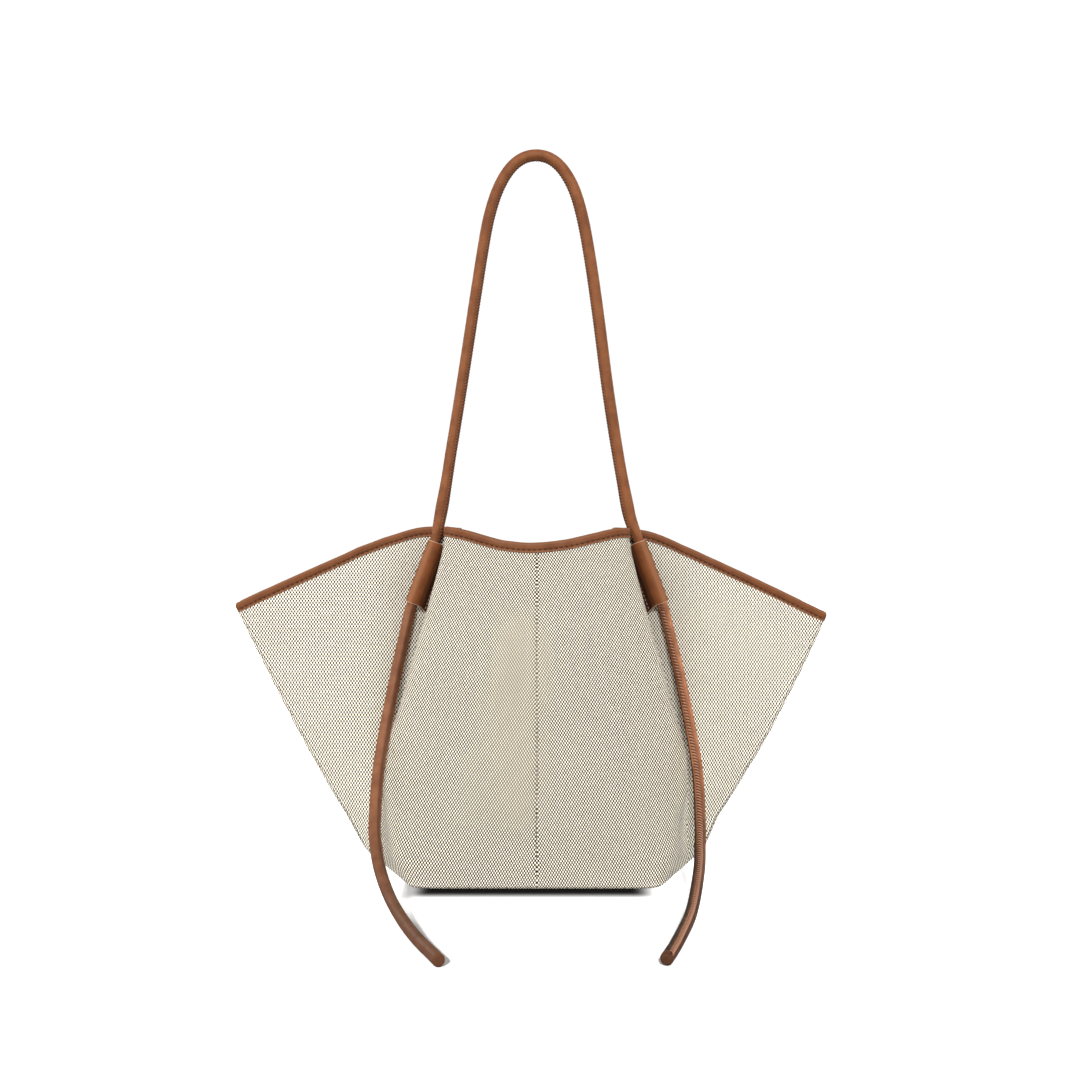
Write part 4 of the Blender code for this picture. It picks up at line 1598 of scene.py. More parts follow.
@dataclass(frozen=True)
class WingLean:
    """How the cloth hangs unevenly: the left wing up and out, the right one down, the rim in soft waves."""

    heights: tuple = (0.00, 0.022, 0.050, 0.12, 0.18, 0.24)
    left_out: tuple = (-0.0012, 0.0062, 0.0034, 0.0051, 0.0060, 0.0078)
    right_out: tuple = (-0.0040, 0.0016, -0.0042, -0.0012, -0.0018, -0.0030)
    left_up: tuple = (0.0, 0.0, 0.0, 0.0010, 0.0030, 0.0045)
    right_up: tuple = (0.0, 0.0, 0.0, -0.0010, -0.0020, -0.0028)
    rim_reach: tuple = (0.0, 0.030, 0.050, 0.0775, 0.1035, 0.120, 0.140, 0.180, 0.220, 0.2545)
    rim_height: tuple = (0.285, 0.288, 0.294, 0.2994, 0.2967, 0.291, 0.2823, 0.2638, 0.2451, 0.229)
    corner_reach: float = 0.142
    corner_rise: float = 0.017
    edge_reach: float = 0.1125
    edge_rise: float = 0.212
    edge_most: float = 1.4
    leaning: tuple = (0.42, 1.02)
    wave_at: tuple = (
        -258, -227, -206, -185, -164, -154, -143, -133, -123, -112, -102, -90, -77, -69, -52, -31, -22, -6,
        3, 11, 20, 28, 37, 45, 54, 70, 82, 95, 105, 116, 126, 137, 147, 157, 168, 178, 189, 199, 210, 230, 250,
    )
    wave_up: tuple = (
        -0.8, 0.3, 1.7, 3.15, 4.35, 5.2, 4.7, 4.35, 3.2, 2.3, 1.65, 0.8, -0.2, -1.1, -1.2, -0.7, 0.0, 0.2,
        0.6, 1.0, 1.25, 1.0, 0.75, 0.2, -0.6, -1.0, -1.6, -2.35, -3.4, -4.1, -4.7, -4.45, -4.5, -4.1, -3.8,
        -3.35, -2.95, -2.65, -2.2, -1.8, -1.8,
    )

    def move(self, points: Array) -> Array:
        """Return the points with each wing leaned over and the rim waved.

        Args:
            points: rows of three numbers, in place on the bag.

        Returns:
            The moved points.
        """
        moved = points.copy()
        x, z = points[:, 0], points[:, 2]
        climb = np.clip((z - self.corner_rise) / self.edge_rise, 0.0, self.edge_most)
        share = smooth_step(*self.leaning, np.abs(x) / (self.corner_reach + self.edge_reach * climb))
        left = np.array([np.interp(z, self.heights, way) for way in (self.left_out, self.left_up)])
        right = np.array([np.interp(z, self.heights, way) for way in (self.right_out, self.right_up)])
        out, up = np.where(x < 0, left, right)
        wave = np.interp(x * 1000, self.wave_at, self.wave_up) / 1000
        rim = np.interp(np.abs(x), self.rim_reach, self.rim_height)
        moved[:, 0] += np.sign(x) * out * share
        moved[:, 2] += up * share + wave * np.clip(z / rim, 0.0, 1.0) ** 2
        return moved


@dataclass(frozen=True)
class Slack:
    """How a panel's cloth sags between its seams, and how it puckers, curls and sinks along them."""

    sag: float = 0.0009
    wave_size: float = 0.085
    fine_size: float = 0.031
    fine_share: float = 0.28
    fine_seed: float = 4.0
    sag_rise: tuple = (0.0, 0.03)
    sag_fall: tuple = (0.235, 0.285)
    fold_calm: float = 0.75
    fold_rise: tuple = (9.0, 10.5)
    wing_rise: tuple = (16.0, 17.0)
    foot_rise: tuple = (0.0, 0.25)
    rim_calm: tuple = (4.4, 4.9)
    edge_calm: tuple = (0.004, 0.02)
    pucker: float = 0.00034
    pucker_pitch: float = 0.0049
    pucker_drift: float = 0.7
    drift_turn: float = 90.0
    pucker_at: float = 0.0045
    bulge: float = 0.0009
    bulge_at: float = 0.0036
    bulge_width: float = 0.0022
    bulge_gather: float = 0.35
    turned: float = 0.0018
    thinnest: float = 0.14
    edge_shift: float = 0.00026
    edge_width: float = 0.002
    seam_sink: float = 0.0018
    seam_half: float = 0.0010
    knot: float = 0.18
    knot_pitch: float = 0.0027

    def hang(self, grid: Array, columns: Array, positions: Array, seed: float) -> Array:
        """Sag and pucker an even panel.

        Args:
            grid: the panel's even points, depth positive.
            columns: the columns' places.
            positions: the rows' places.
            seed: shifts the waves, so that no two panels are alike.

        Returns:
            The shaped points.
        """
        normal = unit(np.cross(np.gradient(grid, axis=1), np.gradient(grid, axis=0)))
        flat = grid.reshape(-1, 3)
        low = grid[..., 2]
        edge = edge_distance(grid)
        calm = (1 - smooth_step(*self.rim_calm, positions))[:, None]
        wave = soft_noise(flat, self.wave_size, seed).reshape(low.shape)
        fine = soft_noise(flat, self.fine_size, seed + self.fine_seed).reshape(low.shape)
        quiet = 1 - self.fold_calm * window(columns, self.fold_rise, self.wing_rise)
        loose = window(low, self.sag_rise, self.sag_fall) * quiet[None, :] * smooth_step(*self.edge_calm, edge)
        push = (wave + fine * self.fine_share) * self.sag * loose * calm
        run = travelled(grid[:, -1])
        drift = self.pucker_drift * np.sin(run * self.drift_turn + seed)
        gather = np.cos(2 * pi * run / self.pucker_pitch + drift)[:, None]
        wing = smooth_step(*self.wing_rise, columns)[None, :] * smooth_step(*self.foot_rise, positions)[:, None]
        wing = wing * calm
        ripple = self.pucker * gather * bell(edge, self.pucker_at, self.pucker_at) * wing
        moved = grid + normal * (push + ripple)[..., None]
        swell = self.bulge * bell(edge, self.bulge_at, self.bulge_width) * (1 + self.bulge_gather * gather)
        curl = np.sqrt(1 - np.clip(1 - edge / self.turned, 0.0, 1.0) ** 2)
        moved[..., 1] = (moved[..., 1] + swell * wing) * (1 - (1 - np.maximum(curl, self.thinnest)) * wing)
        moved[..., 0] += self.edge_shift * gather * bell(edge, 0.0, self.edge_width) * wing
        knots = 1 - self.knot + self.knot * np.cos(2 * pi * low / self.knot_pitch)
        sink = self.seam_sink * bell(grid[..., 0], 0.0, self.seam_half) * calm
        moved[..., 1] -= sink * knots * smooth_step(*self.edge_calm, low)
        return moved


def edge_distance(grid: Array) -> Array:
    """Return each point's distance from its wing's edge."""
    return travelled(grid.swapaxes(0, 1)[::-1])[::-1].T


@dataclass(frozen=True)
class Pitch:
    """The weave's repeat upwards: its lengths at two heights, and evenly changing between."""

    low_repeat: float
    high_repeat: float
    low: float
    high: float
    below: float = 0.02
    above: float = 0.04
    lowest: float = -0.02
    highest: float = 0.32
    marks: int = 1200

    def count(self, height: Array) -> Array:
        """Return how many repeats lie below each height."""
        slope = (self.high_repeat - self.low_repeat) / (self.high - self.low)
        marks = np.linspace(self.lowest, self.highest, self.marks)
        above = np.clip(marks, self.low - self.below, self.high + self.above) - self.low
        counts = np.cumsum(np.diff(marks) / (self.low_repeat + slope * above)[1:])
        return np.interp(height, marks, np.concatenate([[0.0], counts]))


@dataclass
class CanvasShell:
    """Four panel halves of canvas and the base that they are sewn to."""

    finishes: Finishes
    shape: ShellShape = ShellShape()
    lean: WingLean = WingLean()
    stitch: Stitch = field(default_factory=Stitch)
    slack: Slack = Slack()
    seam_columns: tuple = (0.0, 0.02, 0.045, 0.075, 0.11, 0.16)
    edge_columns: tuple = (9.0, 7.0, 5.6, 4.5, 3.6, 2.8, 2.2, 1.7, 1.25, 0.85, 0.5, 0.25, 0.0)
    edge_scale: float = 28.0
    edge_from: float = 12.0
    roll_rows: int = 8
    wall_rows: int = 160
    corner_passes: int = 80
    corner_rise: tuple = (2.4, 4.6)
    corner_fall: tuple = (18.0, 20.2)
    corner_foot: float = 0.30
    corner_foot_rise: tuple = (-0.4, 0.5)
    corner_top: tuple = (0.45, 1.35)
    turn: float = radians(4.1)
    front_pitch: Pitch = Pitch(0.00361, 0.00318, 0.02, 0.25)
    wing_pitch: Pitch = Pitch(0.00392, 0.00358, 0.06, 0.24)
    under_base: float = 0.6
    round_share: float = 0.40
    round_rise: tuple = (5.0, 9.5)
    round_foot: tuple = (0.9, 2.2)
    front_stretch: float = 1.075
    edge_draw: float = 0.0012
    edge_drawn: tuple = (0.0, 0.004)
    wing_reach: float = 0.127
    wing_foot: float = 1.0
    full_fall: tuple = (11.0, 16.0)
    # painted shade: how much the fold_depth number darkens the cloth in the fold's recess
    fold_shade: float = 0.38
    shade_rise: tuple = (10.0, 12.5)
    shade_fall: tuple = (15.6, 18.2)
    shade_foot: tuple = (0.8, 1.6)
    shade_rim: tuple = (3.4, 4.6)
    thread: float = 0.00026
    thread_lift: float = 0.00008
    seam_lift: float = 0.0001
    wing_skip: int = 4
    hem_skip: int = 3
    hem_inset: float = 0.0024
    edge_inset: float = 0.0023
    hem_stitch: tuple = (0.0034, 0.0019)
    seam_stitch: tuple = (0.0027, 0.0014)
    stitch_dip: tuple = (-0.00020, 0.0, 0.00005, 0.0, -0.00020)
    base_rows: int = 29
    base_wave: float = 0.0006
    base_wave_size: float = 0.06
    base_level: float = 0.003
    base_wall: float = 0.94

    def columns(self) -> Array:
        """Return the panels' columns, close together at the seams and folds."""
        near_edge = Column.EDGE - self.edge_from / self.edge_scale
        return np.concatenate(
            [
                self.seam_columns,
                np.linspace(0.25, Column.FOLD, 44),
                np.linspace(Column.FOLD, Column.WALL, 10)[1:],
                np.linspace(Column.WALL, Column.ROOT, 9)[1:],
                np.linspace(Column.ROOT, near_edge, 28)[1:],
                Column.EDGE - np.array(self.edge_columns) / self.edge_scale,
            ]
        )

    def positions(self) -> Array:
        """Return the panels' rows, from the base seam to the rim."""
        roll = np.linspace(-1, 0, self.roll_rows + 1)[:-1]
        return np.concatenate([roll, np.linspace(0, len(self.shape.levels), self.wall_rows + 1)])

    def round_corner(self, grid: Array, columns: Array, positions: Array) -> Array:
        """Soften the crease where the base's front meets its slanted ends.

        Args:
            grid: the panel's points.
            columns: the columns' places.
            positions: the rows' places.

        Returns:
            The softened points.
        """
        across = window(columns, self.corner_rise, self.corner_fall)
        upward = self.corner_foot + (1 - self.corner_foot) * smooth_step(*self.corner_foot_rise, positions)
        upward = upward * (1 - smooth_step(*self.corner_top, positions))
        share = (upward[:, None] * across[None, :])[:, 1:-1, None]
        soft = grid.copy()
        for _ in range(self.corner_passes):
            middle = soft[:, 1:-1]
            mean = (soft[:, :-2] + 2 * middle + soft[:, 2:]) / 4
            soft[:, 1:-1] = middle + (mean - middle) * share
        return soft

    def weave_map(self, grid: Array) -> tuple[Array, Array]:
        """Return the weave's coordinates on the front cloth and on the wing cloth.

        Args:
            grid: the panel's points.

        Returns:
            Two grids of (across, along) in metres.
        """
        columns, positions, height = self.columns(), self.positions(), grid[..., 2]
        foot = int(np.sum(positions < 0))
        climb = travelled(grid)
        under = (positions < 0)[:, None] * (climb - climb[foot]) * self.under_base
        along = CanvasFinish.along * self.front_pitch.count(height) + under
        steps = np.diff(grid, axis=1, prepend=grid[:, :1]) ** 2
        rounding = smooth_step(*self.round_rise, columns) * smooth_step(*self.round_foot, positions)[:, None]
        rounding = np.maximum(rounding, self.round_share)
        steps = np.sqrt(steps[..., 0] + rounding * (steps[..., 1] + steps[..., 2]))
        across = self.front_stretch * np.cumsum(steps, axis=1)
        turned = (
            across * cos(self.turn) + along * sin(self.turn),
            -across * sin(self.turn) + along * cos(self.turn),
        )
        drawn = self.edge_draw * (1 - smooth_step(*self.edge_drawn, edge_distance(grid)))
        upright = (grid[..., 0] + drawn, CanvasFinish.along * self.wing_pitch.count(height) + drawn * 0.5)
        return np.stack(turned, axis=-1), np.stack(upright, axis=-1)

    def panel(self, name: str, side: Side, face: Face, seed: float) -> list[Object]:
        """Make one panel half and its stitches.

        Args:
            name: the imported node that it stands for.
            side: left or right.
            face: front or rear.
            seed: shifts its waves.

        Returns:
            The cloth, and its stitches.
        """
        columns, positions = self.columns(), self.positions()
        even = self.round_corner(self.shape.rows(columns, positions), columns, positions)
        front_map, wing_map = (part.reshape(-1, 2) for part in self.weave_map(even))
        grid = self.slack.hang(even, columns, positions, seed)
        grid[:, 0, 0] += self.shape.seat_gap / 2
        rows, width = grid.shape[:2]
        points = self.lean.move(grid.reshape(-1, 3) * np.array([side, -face, 1.0]))
        quads = grid_faces(rows, width, flip=side * face < 0)
        panel = add_piece(name + "_cloth", points, quads.tolist(), self.finishes.canvas)
        wing_from = int(np.searchsorted(columns, Column.ROOT - 1e-6))
        apart = grid[..., 0].ravel()[quads].min(axis=1) > self.wing_reach
        apart = apart | (positions[quads[:, 0] // width] > self.wing_foot)
        on_wing = ((quads % width).min(axis=1) >= wing_from) & apart
        set_map(panel, "weave", np.where(on_wing[:, None, None], wing_map[quads], front_map[quads]).reshape(-1, 2))
        set_number(panel, "full_cloth", np.tile(1 - smooth_step(*self.full_fall, columns), rows))
        # painted shade: fold_depth darkens the cloth from the front's fold across the wall to the wing's root, less
        # towards the rim
        deep = window(columns, self.shade_rise, self.shade_fall) * self.fold_shade
        height = smooth_step(*self.shade_foot, positions) * (1 - 0.5 * smooth_step(*self.shade_rim, positions))
        set_number(panel, "fold_depth", (height[:, None] * deep[None, :]).ravel())
        add_wall(panel, "cloth", self.shape.canvas)
        return [panel, self.sew(name, points.reshape(rows, width, 3), even, face)]

    def sew(self, name: str, placed: Array, even: Array, face: Face) -> Object:
        """Sew one panel's wing edge and hem, and its half of the centre seam.

        Args:
            name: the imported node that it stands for.
            placed: the panel's points where they lie on the bag.
            even: the same points before they were shaped.
            face: front or rear.

        Returns:
            The stitches.
        """
        positions = self.positions()
        normal = unit(np.cross(np.gradient(placed, axis=1), np.gradient(placed, axis=0)))
        normal = np.where(normal[..., 1:2] * face > 0, -normal, normal)
        edge = edge_distance(even)
        foot = int(np.sum(positions < 0))
        top = int(np.searchsorted(positions, self.shape.foot_position()))
        climb = travelled(placed)
        raised = placed + normal * (self.shape.canvas / 2 + self.thread_lift)
        width = placed.shape[1]
        wing, wing_out = (
            np.array([read_line(part[i], -edge[i], -self.edge_inset) for i in range(foot + self.wing_skip, top)])
            for part in (raised, normal)
        )
        hem, hem_out = (
            np.array([read_line(part[:, j], climb[:, j], self.hem_inset) for j in range(self.hem_skip, width)])
            for part in (raised, normal)
        )
        rows = self.dashes(wing, wing_out, *self.hem_stitch)
        rows += self.dashes(hem, hem_out, *self.hem_stitch)
        if placed[foot, -1, 0] > 0:
            out = np.tile(np.array([0.0, -float(face), 0.0]), (top - foot, 1))
            middle = placed[foot:top, 0] * np.array([0.0, 1.0, 1.0])
            middle = middle + out * (self.shape.canvas / 2 + self.seam_lift)
            rows += self.dashes(middle, out, *self.seam_stitch)
        return self.stitch.lay(name + "_stitches", rows, self.thread, self.finishes.canvas_thread)

    def dashes(self, line: Array, out: Array, pitch: float, length: float) -> Rows:
        """Cut a seam's line into stitches.

        Args:
            line: the seam's line on the cloth.
            out: the direction away from the cloth along it.
            pitch: the distance from one stitch to the next.
            length: each stitch's length.

        Returns:
            For each stitch its short line and directions.
        """
        run = travelled(line)
        dip = np.array(self.stitch_dip)[:, None]
        found = []
        for mark in np.arange(pitch, run[-1] - pitch, pitch):
            places = mark + np.linspace(-0.5, 0.5, len(dip)) * length
            lifts = read_line(out, run, places)
            found.append((read_line(line, run, places) + lifts * dip, lifts))
        return found

    def base(self) -> Object:
        """Make the base, a flat middle with slanted ends, a little uneven between its seams.

        Args:

        Returns:
            The piece.
        """
        columns, seam = self.columns(), np.array([-1.0])
        edge = self.round_corner(self.shape.rows(columns, seam), columns, seam)[0]
        edge = np.concatenate([(edge * MIRROR)[::-1], edge[1:]])
        shares = np.linspace(-1, 1, self.base_rows)
        grid = np.stack([edge * np.array([1.0, share, 1.0]) for share in shares])
        flat = grid.reshape(-1, 3)
        wave = np.abs(soft_noise(flat, self.base_wave_size, 2.0)).reshape(grid.shape[:2])
        raised = smooth_step(0.0, 0.01, grid[..., 2] - self.base_level)
        grid[..., 2] += wave * self.base_wave * (1 - np.abs(shares) ** 4)[:, None] * raised
        quads = grid_faces(grid.shape[0], grid.shape[1], flip=False)
        base = add_piece("canvas_base_cloth", self.lean.move(flat), quads.tolist(), self.finishes.canvas)
        set_map(base, "weave", flat[quads][..., :2].reshape(-1, 2))
        add_wall(base, "cloth", self.shape.canvas * self.base_wall)
        return base

    def build(self) -> None:
        """Make the four halves and the base."""
        halves = [(face, side) for face in Face for side in Side]
        for seed, (face, side) in enumerate(halves, start=1):
            node = "canvas_" + face.word + "_" + side.word
            cloth, sewn = self.panel(node, side, face, float(seed))
            fit(cloth, node)
            fit(sewn)
            LOG.info("%s: %d vertices", cloth.name, len(cloth.data.vertices))
        fit(self.base(), "canvas_base")


# Binding


@dataclass
class RimBinding:
    """The leather strip folded over one face's rim."""

    finishes: Finishes
    shape: ShellShape = ShellShape()
    lean: WingLean = WingLean()
    slot: float = 0.00095
    slot_top: float = -0.00025
    slot_mark: float = 1.5
    half: float = 0.00195
    crown: float = 0.0014
    crown_cuts: int = 8
    drop: float = 0.0072
    side_cuts: int = 12
    swell: float = 0.00022
    groove_at: float = 0.0050
    groove_depth: float = 0.00055
    groove_width: float = 0.00062
    lip: float = 0.00025
    lip_from: float = 0.0066
    lip_run: float = 0.0006
    line_cuts: tuple = (120, 60, 100)
    ring_step: float = 0.0011
    overhang: float = 0.0002
    tip_round: float = 0.0022
    tip_rings: tuple = (0.0, 0.00025, 0.0006, 0.00105, 0.0016)
    tip_low: float = 0.9
    tip_middle: float = 0.42
    tip_width: float = 0.4
    tuck: float = 0.00018
    tuck_width: float = 0.0010
    edge_wave: float = 0.00012
    edge_from: float = 0.006
    sharp: float = 50.0
    stitch_pitch: float = 0.0045
    stitch_length: float = 0.0028
    stitch_lift: tuple = (-0.5, 0.25, 0.4, 0.25, -0.5)
    stitch_seat: float = 0.3
    thread_radius: float = 0.00038
    stitch: Stitch = field(default_factory=Stitch)

    def rim_lines(self) -> tuple[Array, Array]:
        """Return the rim's line and the line just below the binding, from tip to tip."""
        front, root, wing = self.line_cuts
        columns = np.concatenate(
            [
                np.linspace(0, Column.FOLD, front),
                np.linspace(Column.FOLD, Column.ROOT, root)[1:],
                np.linspace(Column.ROOT, Column.EDGE, wing)[1:],
            ]
        )
        positions = np.array([float(len(self.shape.levels)), self.shape.foot_position()])
        halves = self.shape.rows(columns, positions)
        top, low = (np.concatenate([(half * MIRROR)[::-1], half[1:]]) for half in halves)
        run = travelled(top)
        close = np.array(self.tip_rings)
        inner = np.linspace(self.tip_round, run[-1] - self.tip_round, round(run[-1] / self.ring_step) + 1)
        marks = np.concatenate([close, inner, run[-1] - close[::-1]])
        return read_line(top, run, marks), read_line(low, run, marks)

    def profile(self) -> tuple[Array, Array]:
        """Return the section as (sideways, downward) pairs, and each point's place from the crown."""
        drop = self.drop * (1 - np.arange(self.side_cuts + 1) / self.side_cuts)
        bulge = self.swell * np.sin(pi * np.minimum(drop / self.groove_at, 1.0))
        dent = self.groove_depth * bell(drop, self.groove_at, self.groove_width)
        lip = self.lip * np.maximum((drop - self.lip_from) / self.lip_run, 0.0)
        outer = np.stack([self.half + bulge - dent - lip, drop], axis=1)
        angle = np.arange(1, self.crown_cuts) * pi / self.crown_cuts
        crown = np.stack([-self.half * np.cos(angle), -self.crown * np.sin(angle)], axis=1)
        inside = [(self.slot, self.drop), (self.slot, self.slot_top)]
        inside += [(-across, down) for across, down in inside[::-1]]
        pairs = np.concatenate([outer * np.array([-1.0, 1.0]), crown, outer[::-1], inside])
        mark = drop / self.groove_at
        within = [self.slot_mark, 0.0, 0.0, -self.slot_mark]
        return pairs, np.concatenate([-mark, np.zeros(len(crown)), mark[::-1], within])

    def build(self, name: str, face: Face) -> None:
        """Make the strip and its stitches on one face.

        Args:
            name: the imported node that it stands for.
            face: front or rear.
        """
        turn = np.array([1.0, -face, 1.0])
        top, low = (self.lean.move(line * turn) for line in self.rim_lines())
        run = travelled(top)
        down = unit(low - top)
        ahead = unit(np.gradient(top, axis=0))
        sideways = unit(np.cross(down, ahead)) * face
        pairs, marks = self.profile()
        wave = np.cos(2 * pi * run / self.stitch_pitch)[:, None]
        tuck = self.tuck * bell(pairs[:, 1], self.groove_at, self.tuck_width) * (np.abs(pairs[:, 0]) > self.slot)
        across = pairs[:, 0] - np.sign(pairs[:, 0]) * tuck * (0.5 + 0.5 * wave)
        drop = pairs[:, 1] + self.edge_wave * (pairs[:, 1] > self.edge_from) * wave
        near = np.clip(1 - np.minimum(run, run[-1] - run) / self.tip_round, 0.0, 1.0)
        kept = np.sqrt(1 - self.tip_low * near**2)[:, None]
        middle = self.drop * self.tip_middle
        drop = middle + (drop - middle) * kept
        across = across * (self.tip_width + (1 - self.tip_width) * kept)
        ring = top[:, None, :] + across[..., None] * sideways[:, None, :] + drop[..., None] * down[:, None, :]
        ring[0] -= ahead[0] * self.overhang
        ring[-1] += ahead[-1] * self.overhang
        count = len(pairs)
        quads = grid_faces(len(top), count, flip=face < 0, closed=True)
        last = (len(top) - 1) * count
        caps = [list(range(count)), list(range(last, last + count))]
        caps[0 if face > 0 else 1].reverse()
        strip = add_piece(
            name + "_leather", ring.reshape(-1, 3), quads.tolist() + caps, self.finishes.binding, self.sharp
        )
        corners = np.stack([run[quads // count], marks[quads % count]], axis=-1).reshape(-1, 2)
        ends = [np.stack([np.full(count, run[at]), marks], axis=1) for at in (0, -1)]
        set_map(strip, "run", np.concatenate([corners, *ends]))
        fit(strip, name)
        self.sew(name + "_stitches", top, down, sideways)
        LOG.info("%s: %d rings", strip.name, len(top))

    def sew(self, name: str, top: Array, down: Array, sideways: Array) -> None:
        """Sew both faces of the strip along its groove.

        Args:
            name: the piece's name.
            top: the rim's line.
            down: the direction down the canvas at each point.
            sideways: the direction out of the strip's face.
        """
        run = travelled(top)
        half = self.stitch_length / 2
        depth = self.half - self.groove_depth + self.thread_radius * self.stitch_seat
        lifts = (np.array(self.stitch_lift) * self.thread_radius + depth)[:, None]
        rows = []
        for mark in np.arange(self.stitch_pitch, run[-1] - self.stitch_pitch / 2, self.stitch_pitch):
            places = mark + np.linspace(-half, half, len(lifts))
            line, out, fall = (read_line(part, run, places) for part in (top, sideways, down))
            rows += [(line + fall * self.groove_at + out * lifts * way, out * way) for way in (1, -1)]
        fit(self.stitch.lay(name, rows, self.thread_radius, self.finishes.dark_thread))


# Tunnels


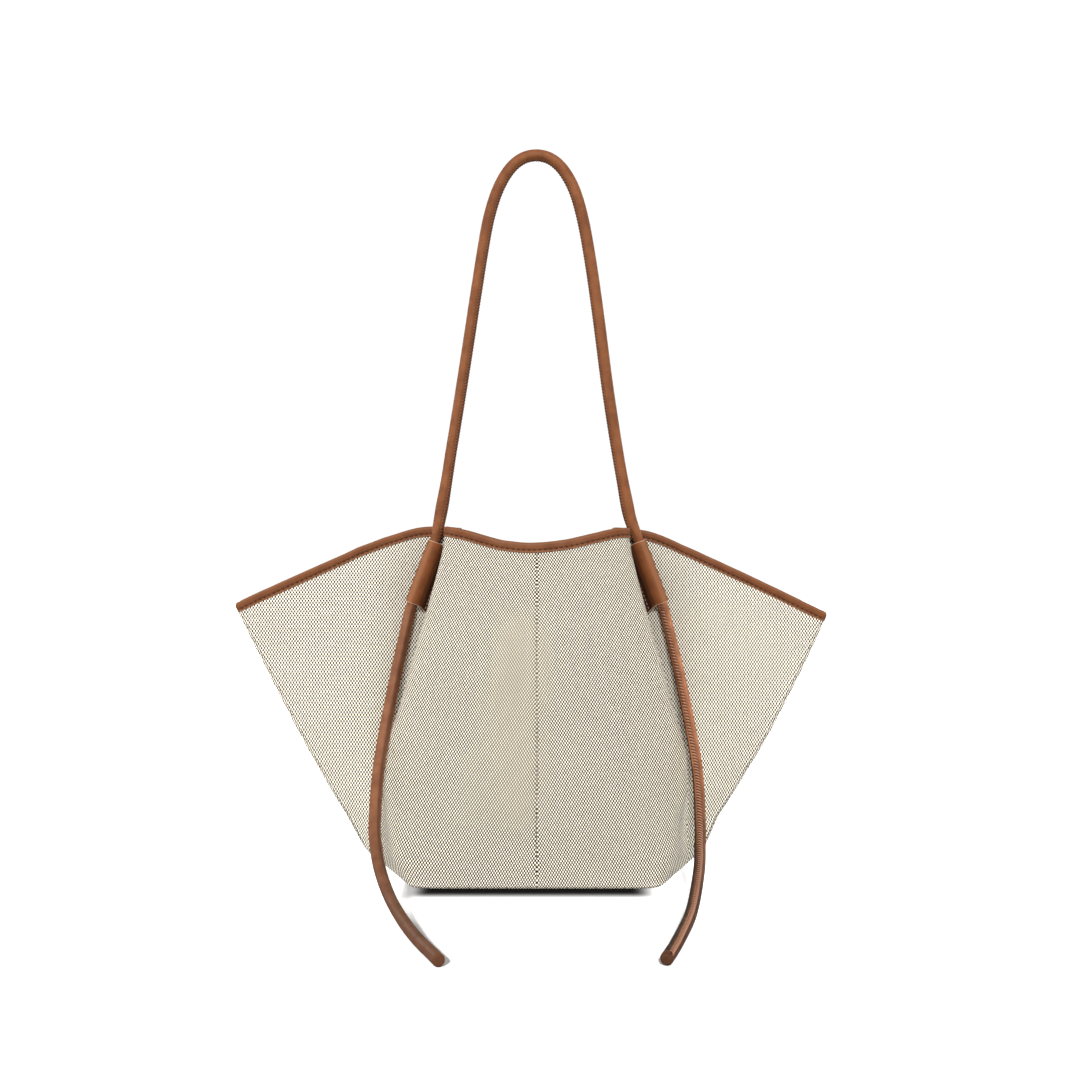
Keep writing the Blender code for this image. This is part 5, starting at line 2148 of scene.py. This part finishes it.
@dataclass
class StrapTunnel:
    """A strip of leather folded round the strap, sewn through both layers of its flange into the fold."""

    finishes: Finishes
    line: TunnelLine = TunnelLine()
    loop: float = 0.0056
    loop_turn: tuple = (-90.0, -310.0, 45)
    wall: float = 0.0012
    flange: float = 0.0149
    back_level: float = -0.0054
    back_run: tuple = (1.0, 0.12, 8)
    front_level: float = -0.0042
    front_run: tuple = (0.0137, 0.0146)
    leave_angle: float = radians(50)
    leave_pull: float = 0.0052
    meet_at: float = 0.0128
    meet_pull: float = 0.0038
    meet_cuts: int = 18
    strip_step: float = 0.00062
    end_rows: tuple = (0.0, 0.0005)
    inner_from: float = 0.0016
    inner_rows: int = 44
    stand: float = 0.045
    stand_power: float = 0.6
    crumple: float = 0.00016
    crumple_waves: tuple = (21, 260)
    crumple_low: float = 0.35
    crumple_rise: tuple = (0.6, 1.0)
    loose_fall: tuple = (0.006, 0.010)
    loose_rise: tuple = (-0.0045, -0.001)
    loose_from: float = -0.003
    slump: float = 0.0042
    slump_from: float = 0.004
    grain_unit: float = 0.0045
    soft_width: float = 0.00025
    soft_angle: float = radians(60)
    stitch_at: float = 0.0119
    stitch_pitch: float = 0.0036
    stitch_ends: tuple = (0.0035, 0.003)
    stitch_half: float = 0.0012
    stitch_lift: tuple = (-0.00022, 0.00012, 0.00020, 0.00012, -0.00022)
    thread_radius: float = 0.00032
    stitch: Stitch = field(default_factory=Stitch)

    def path(self) -> Array:
        """Return the strap's middle as (across, front) pairs, round the strap and back to the sewn edge."""
        back = [(self.flange * share, self.back_level) for share in np.linspace(*self.back_run)]
        turn = np.radians(np.linspace(*self.loop_turn))
        loop = [(self.loop * cos(angle), self.loop * sin(angle)) for angle in turn]
        start = Vector((*loop[-1], 0.0))
        away = Vector((sin(self.leave_angle), -cos(self.leave_angle), 0.0)) * self.leave_pull
        end = Vector((self.meet_at, self.front_level, 0.0))
        pull = Vector((self.meet_pull, 0.0, 0.0))
        curve = interpolate_bezier(start, start + away, end - pull, end, self.meet_cuts)
        meet = [(point.x, point.y) for point in curve]
        front = [(across, self.front_level) for across in self.front_run]
        pairs = np.array(back + loop + meet[1:] + front)
        return evenly(np.column_stack([pairs, np.zeros(len(pairs))]), self.strip_step)[:, :2]

    def strip(self, name: str, side: Side) -> Object:
        """Fold the strip round the strap.

        Args:
            name: the piece's name.
            side: left or right.

        Returns:
            The piece.
        """
        pairs = self.path()
        length = self.line.length
        ends = np.array(self.end_rows)
        inner = np.linspace(self.inner_from, length - self.inner_from, self.inner_rows)
        marks = np.concatenate([ends, inner, length - ends[::-1]])
        bpy.ops.mesh.primitive_grid_add(
            x_subdivisions=len(pairs) - 1, y_subdivisions=len(marks) - 1, size=1.0
        )
        strip = bpy.context.object
        strip.name = name
        mesh = strip.data
        flat = np.zeros(len(mesh.vertices) * 3)
        mesh.vertices.foreach_get("co", flat)
        flat = flat.reshape(-1, 3)
        along = np.rint((flat[:, 0] + 0.5) * (len(pairs) - 1)).astype(int)
        up = np.rint((flat[:, 1] + 0.5) * (len(marks) - 1)).astype(int)
        mesh.vertices.foreach_set("co", self.folded(pairs[along], marks[up], side).ravel())
        run = travelled(pairs)
        corner = np.zeros(len(mesh.loops), dtype=int)
        mesh.loops.foreach_get("vertex_index", corner)
        for layer in list(mesh.uv_layers):
            mesh.uv_layers.remove(layer)
        set_map(strip, "run", np.stack([marks[up[corner]], run[along[corner]] / self.grain_unit], axis=1))
        for face in mesh.polygons:
            row = max(up[point] for point in face.vertices)
            face.use_smooth = True
            face.material_index = int(row <= 1 or row >= len(marks) - 1)
        mesh.materials.append(self.finishes.tunnel)
        mesh.materials.append(self.finishes.raw_edge)
        add_wall(strip, "leather", self.wall).material_offset_rim = 1
        soft = strip.modifiers.new("soft_edge", "BEVEL")
        soft.width, soft.segments = self.soft_width, 2
        soft.limit_method, soft.angle_limit = "ANGLE", self.soft_angle
        return strip

    def folded(self, pairs: Array, marks: Array, side: Side) -> Array:
        """Return the strip's points on the bag, a little crumpled round the strap and slumped at the flange.

        Args:
            pairs: each point's place on the path.
            marks: each point's place up the tunnel.
            side: left or right.

        Returns:
            The points.
        """
        across, out = pairs[:, 0], pairs[:, 1]
        share = marks / self.line.length
        stand = self.loop * self.stand * np.sin(pi * share) ** self.stand_power
        upward, sideways = self.crumple_waves
        uneven = self.crumple_low + smooth_step(*self.crumple_rise, share)
        crumple = self.crumple * np.sin(share * upward + side + across * sideways) * uneven
        loose = smooth_step(*self.loose_rise, out) * (1 - smooth_step(*self.loose_fall, across))
        wide = (stand + crumple) * loose * (out > self.loose_from)
        moved = pairs + unit(pairs) * wide[:, None]
        height = marks - self.slump * smooth_step(self.slump_from, self.flange, across)
        placed = self.line.foot(side) + height[:, None] * self.line.axis(side)
        placed = placed + moved[:, :1] * self.line.across(side)
        placed[:, 1] -= moved[:, 1]
        return placed

    def sew(self, name: str, side: Side) -> None:
        """Sew the flange with a row of thread near its free edge.

        Args:
            name: the piece's name.
            side: left or right.
        """
        front = np.array([0.0, -1.0, 0.0])
        lifts = (np.array(self.stitch_lift) + self.front_level + self.wall / 2)[:, None]
        steps = np.linspace(-self.stitch_half, self.stitch_half, len(lifts))[:, None]
        fall = self.slump * smooth_step(self.slump_from, self.flange, self.stitch_at)
        seam = self.line.foot(side) + self.stitch_at * self.line.across(side) + lifts * front
        first, last = self.stitch_ends
        rows = []
        for mark in np.arange(first, self.line.length - last, self.stitch_pitch):
            points = seam + (mark - fall + steps) * self.line.axis(side)
            rows.append((points, np.tile(front, (len(lifts), 1))))
        fit(self.stitch.lay(name, rows, self.thread_radius, self.finishes.tan_thread))

    def build(self, name: str, side: Side) -> None:
        """Make one tunnel and the stitches along its flange.

        Args:
            name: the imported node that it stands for.
            side: left or right.
        """
        strip = self.strip(name + "_leather", side)
        fit(strip, name)
        self.sew(name + "_stitches", side)
        LOG.info("%s: %d vertices", strip.name, len(strip.data.vertices))


def dress_board(finishes: Finishes) -> None:
    """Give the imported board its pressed-fibre finish."""
    board = bpy.data.objects["base_board"]
    board.data.materials.clear()
    board.data.materials.append(finishes.board)
    LOG.info("%s: dressed", board.name)


def main() -> None:
    """Dress the bag piece by piece."""
    logging.basicConfig(level=logging.INFO, format="%(name)s: %(message)s")
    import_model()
    studio = Studio()
    studio.build()
    finishes = Finishes()
    RolledStrap(finishes).build()
    CanvasShell(finishes).build()
    for face in Face:
        RimBinding(finishes).build("binding_" + face.word, face)
    for side in Side:
        StrapTunnel(finishes).build("strap_tunnel_" + side.word, side)
    dress_board(finishes)
    studio.share_lights()


if __name__ == "__main__":
    main()
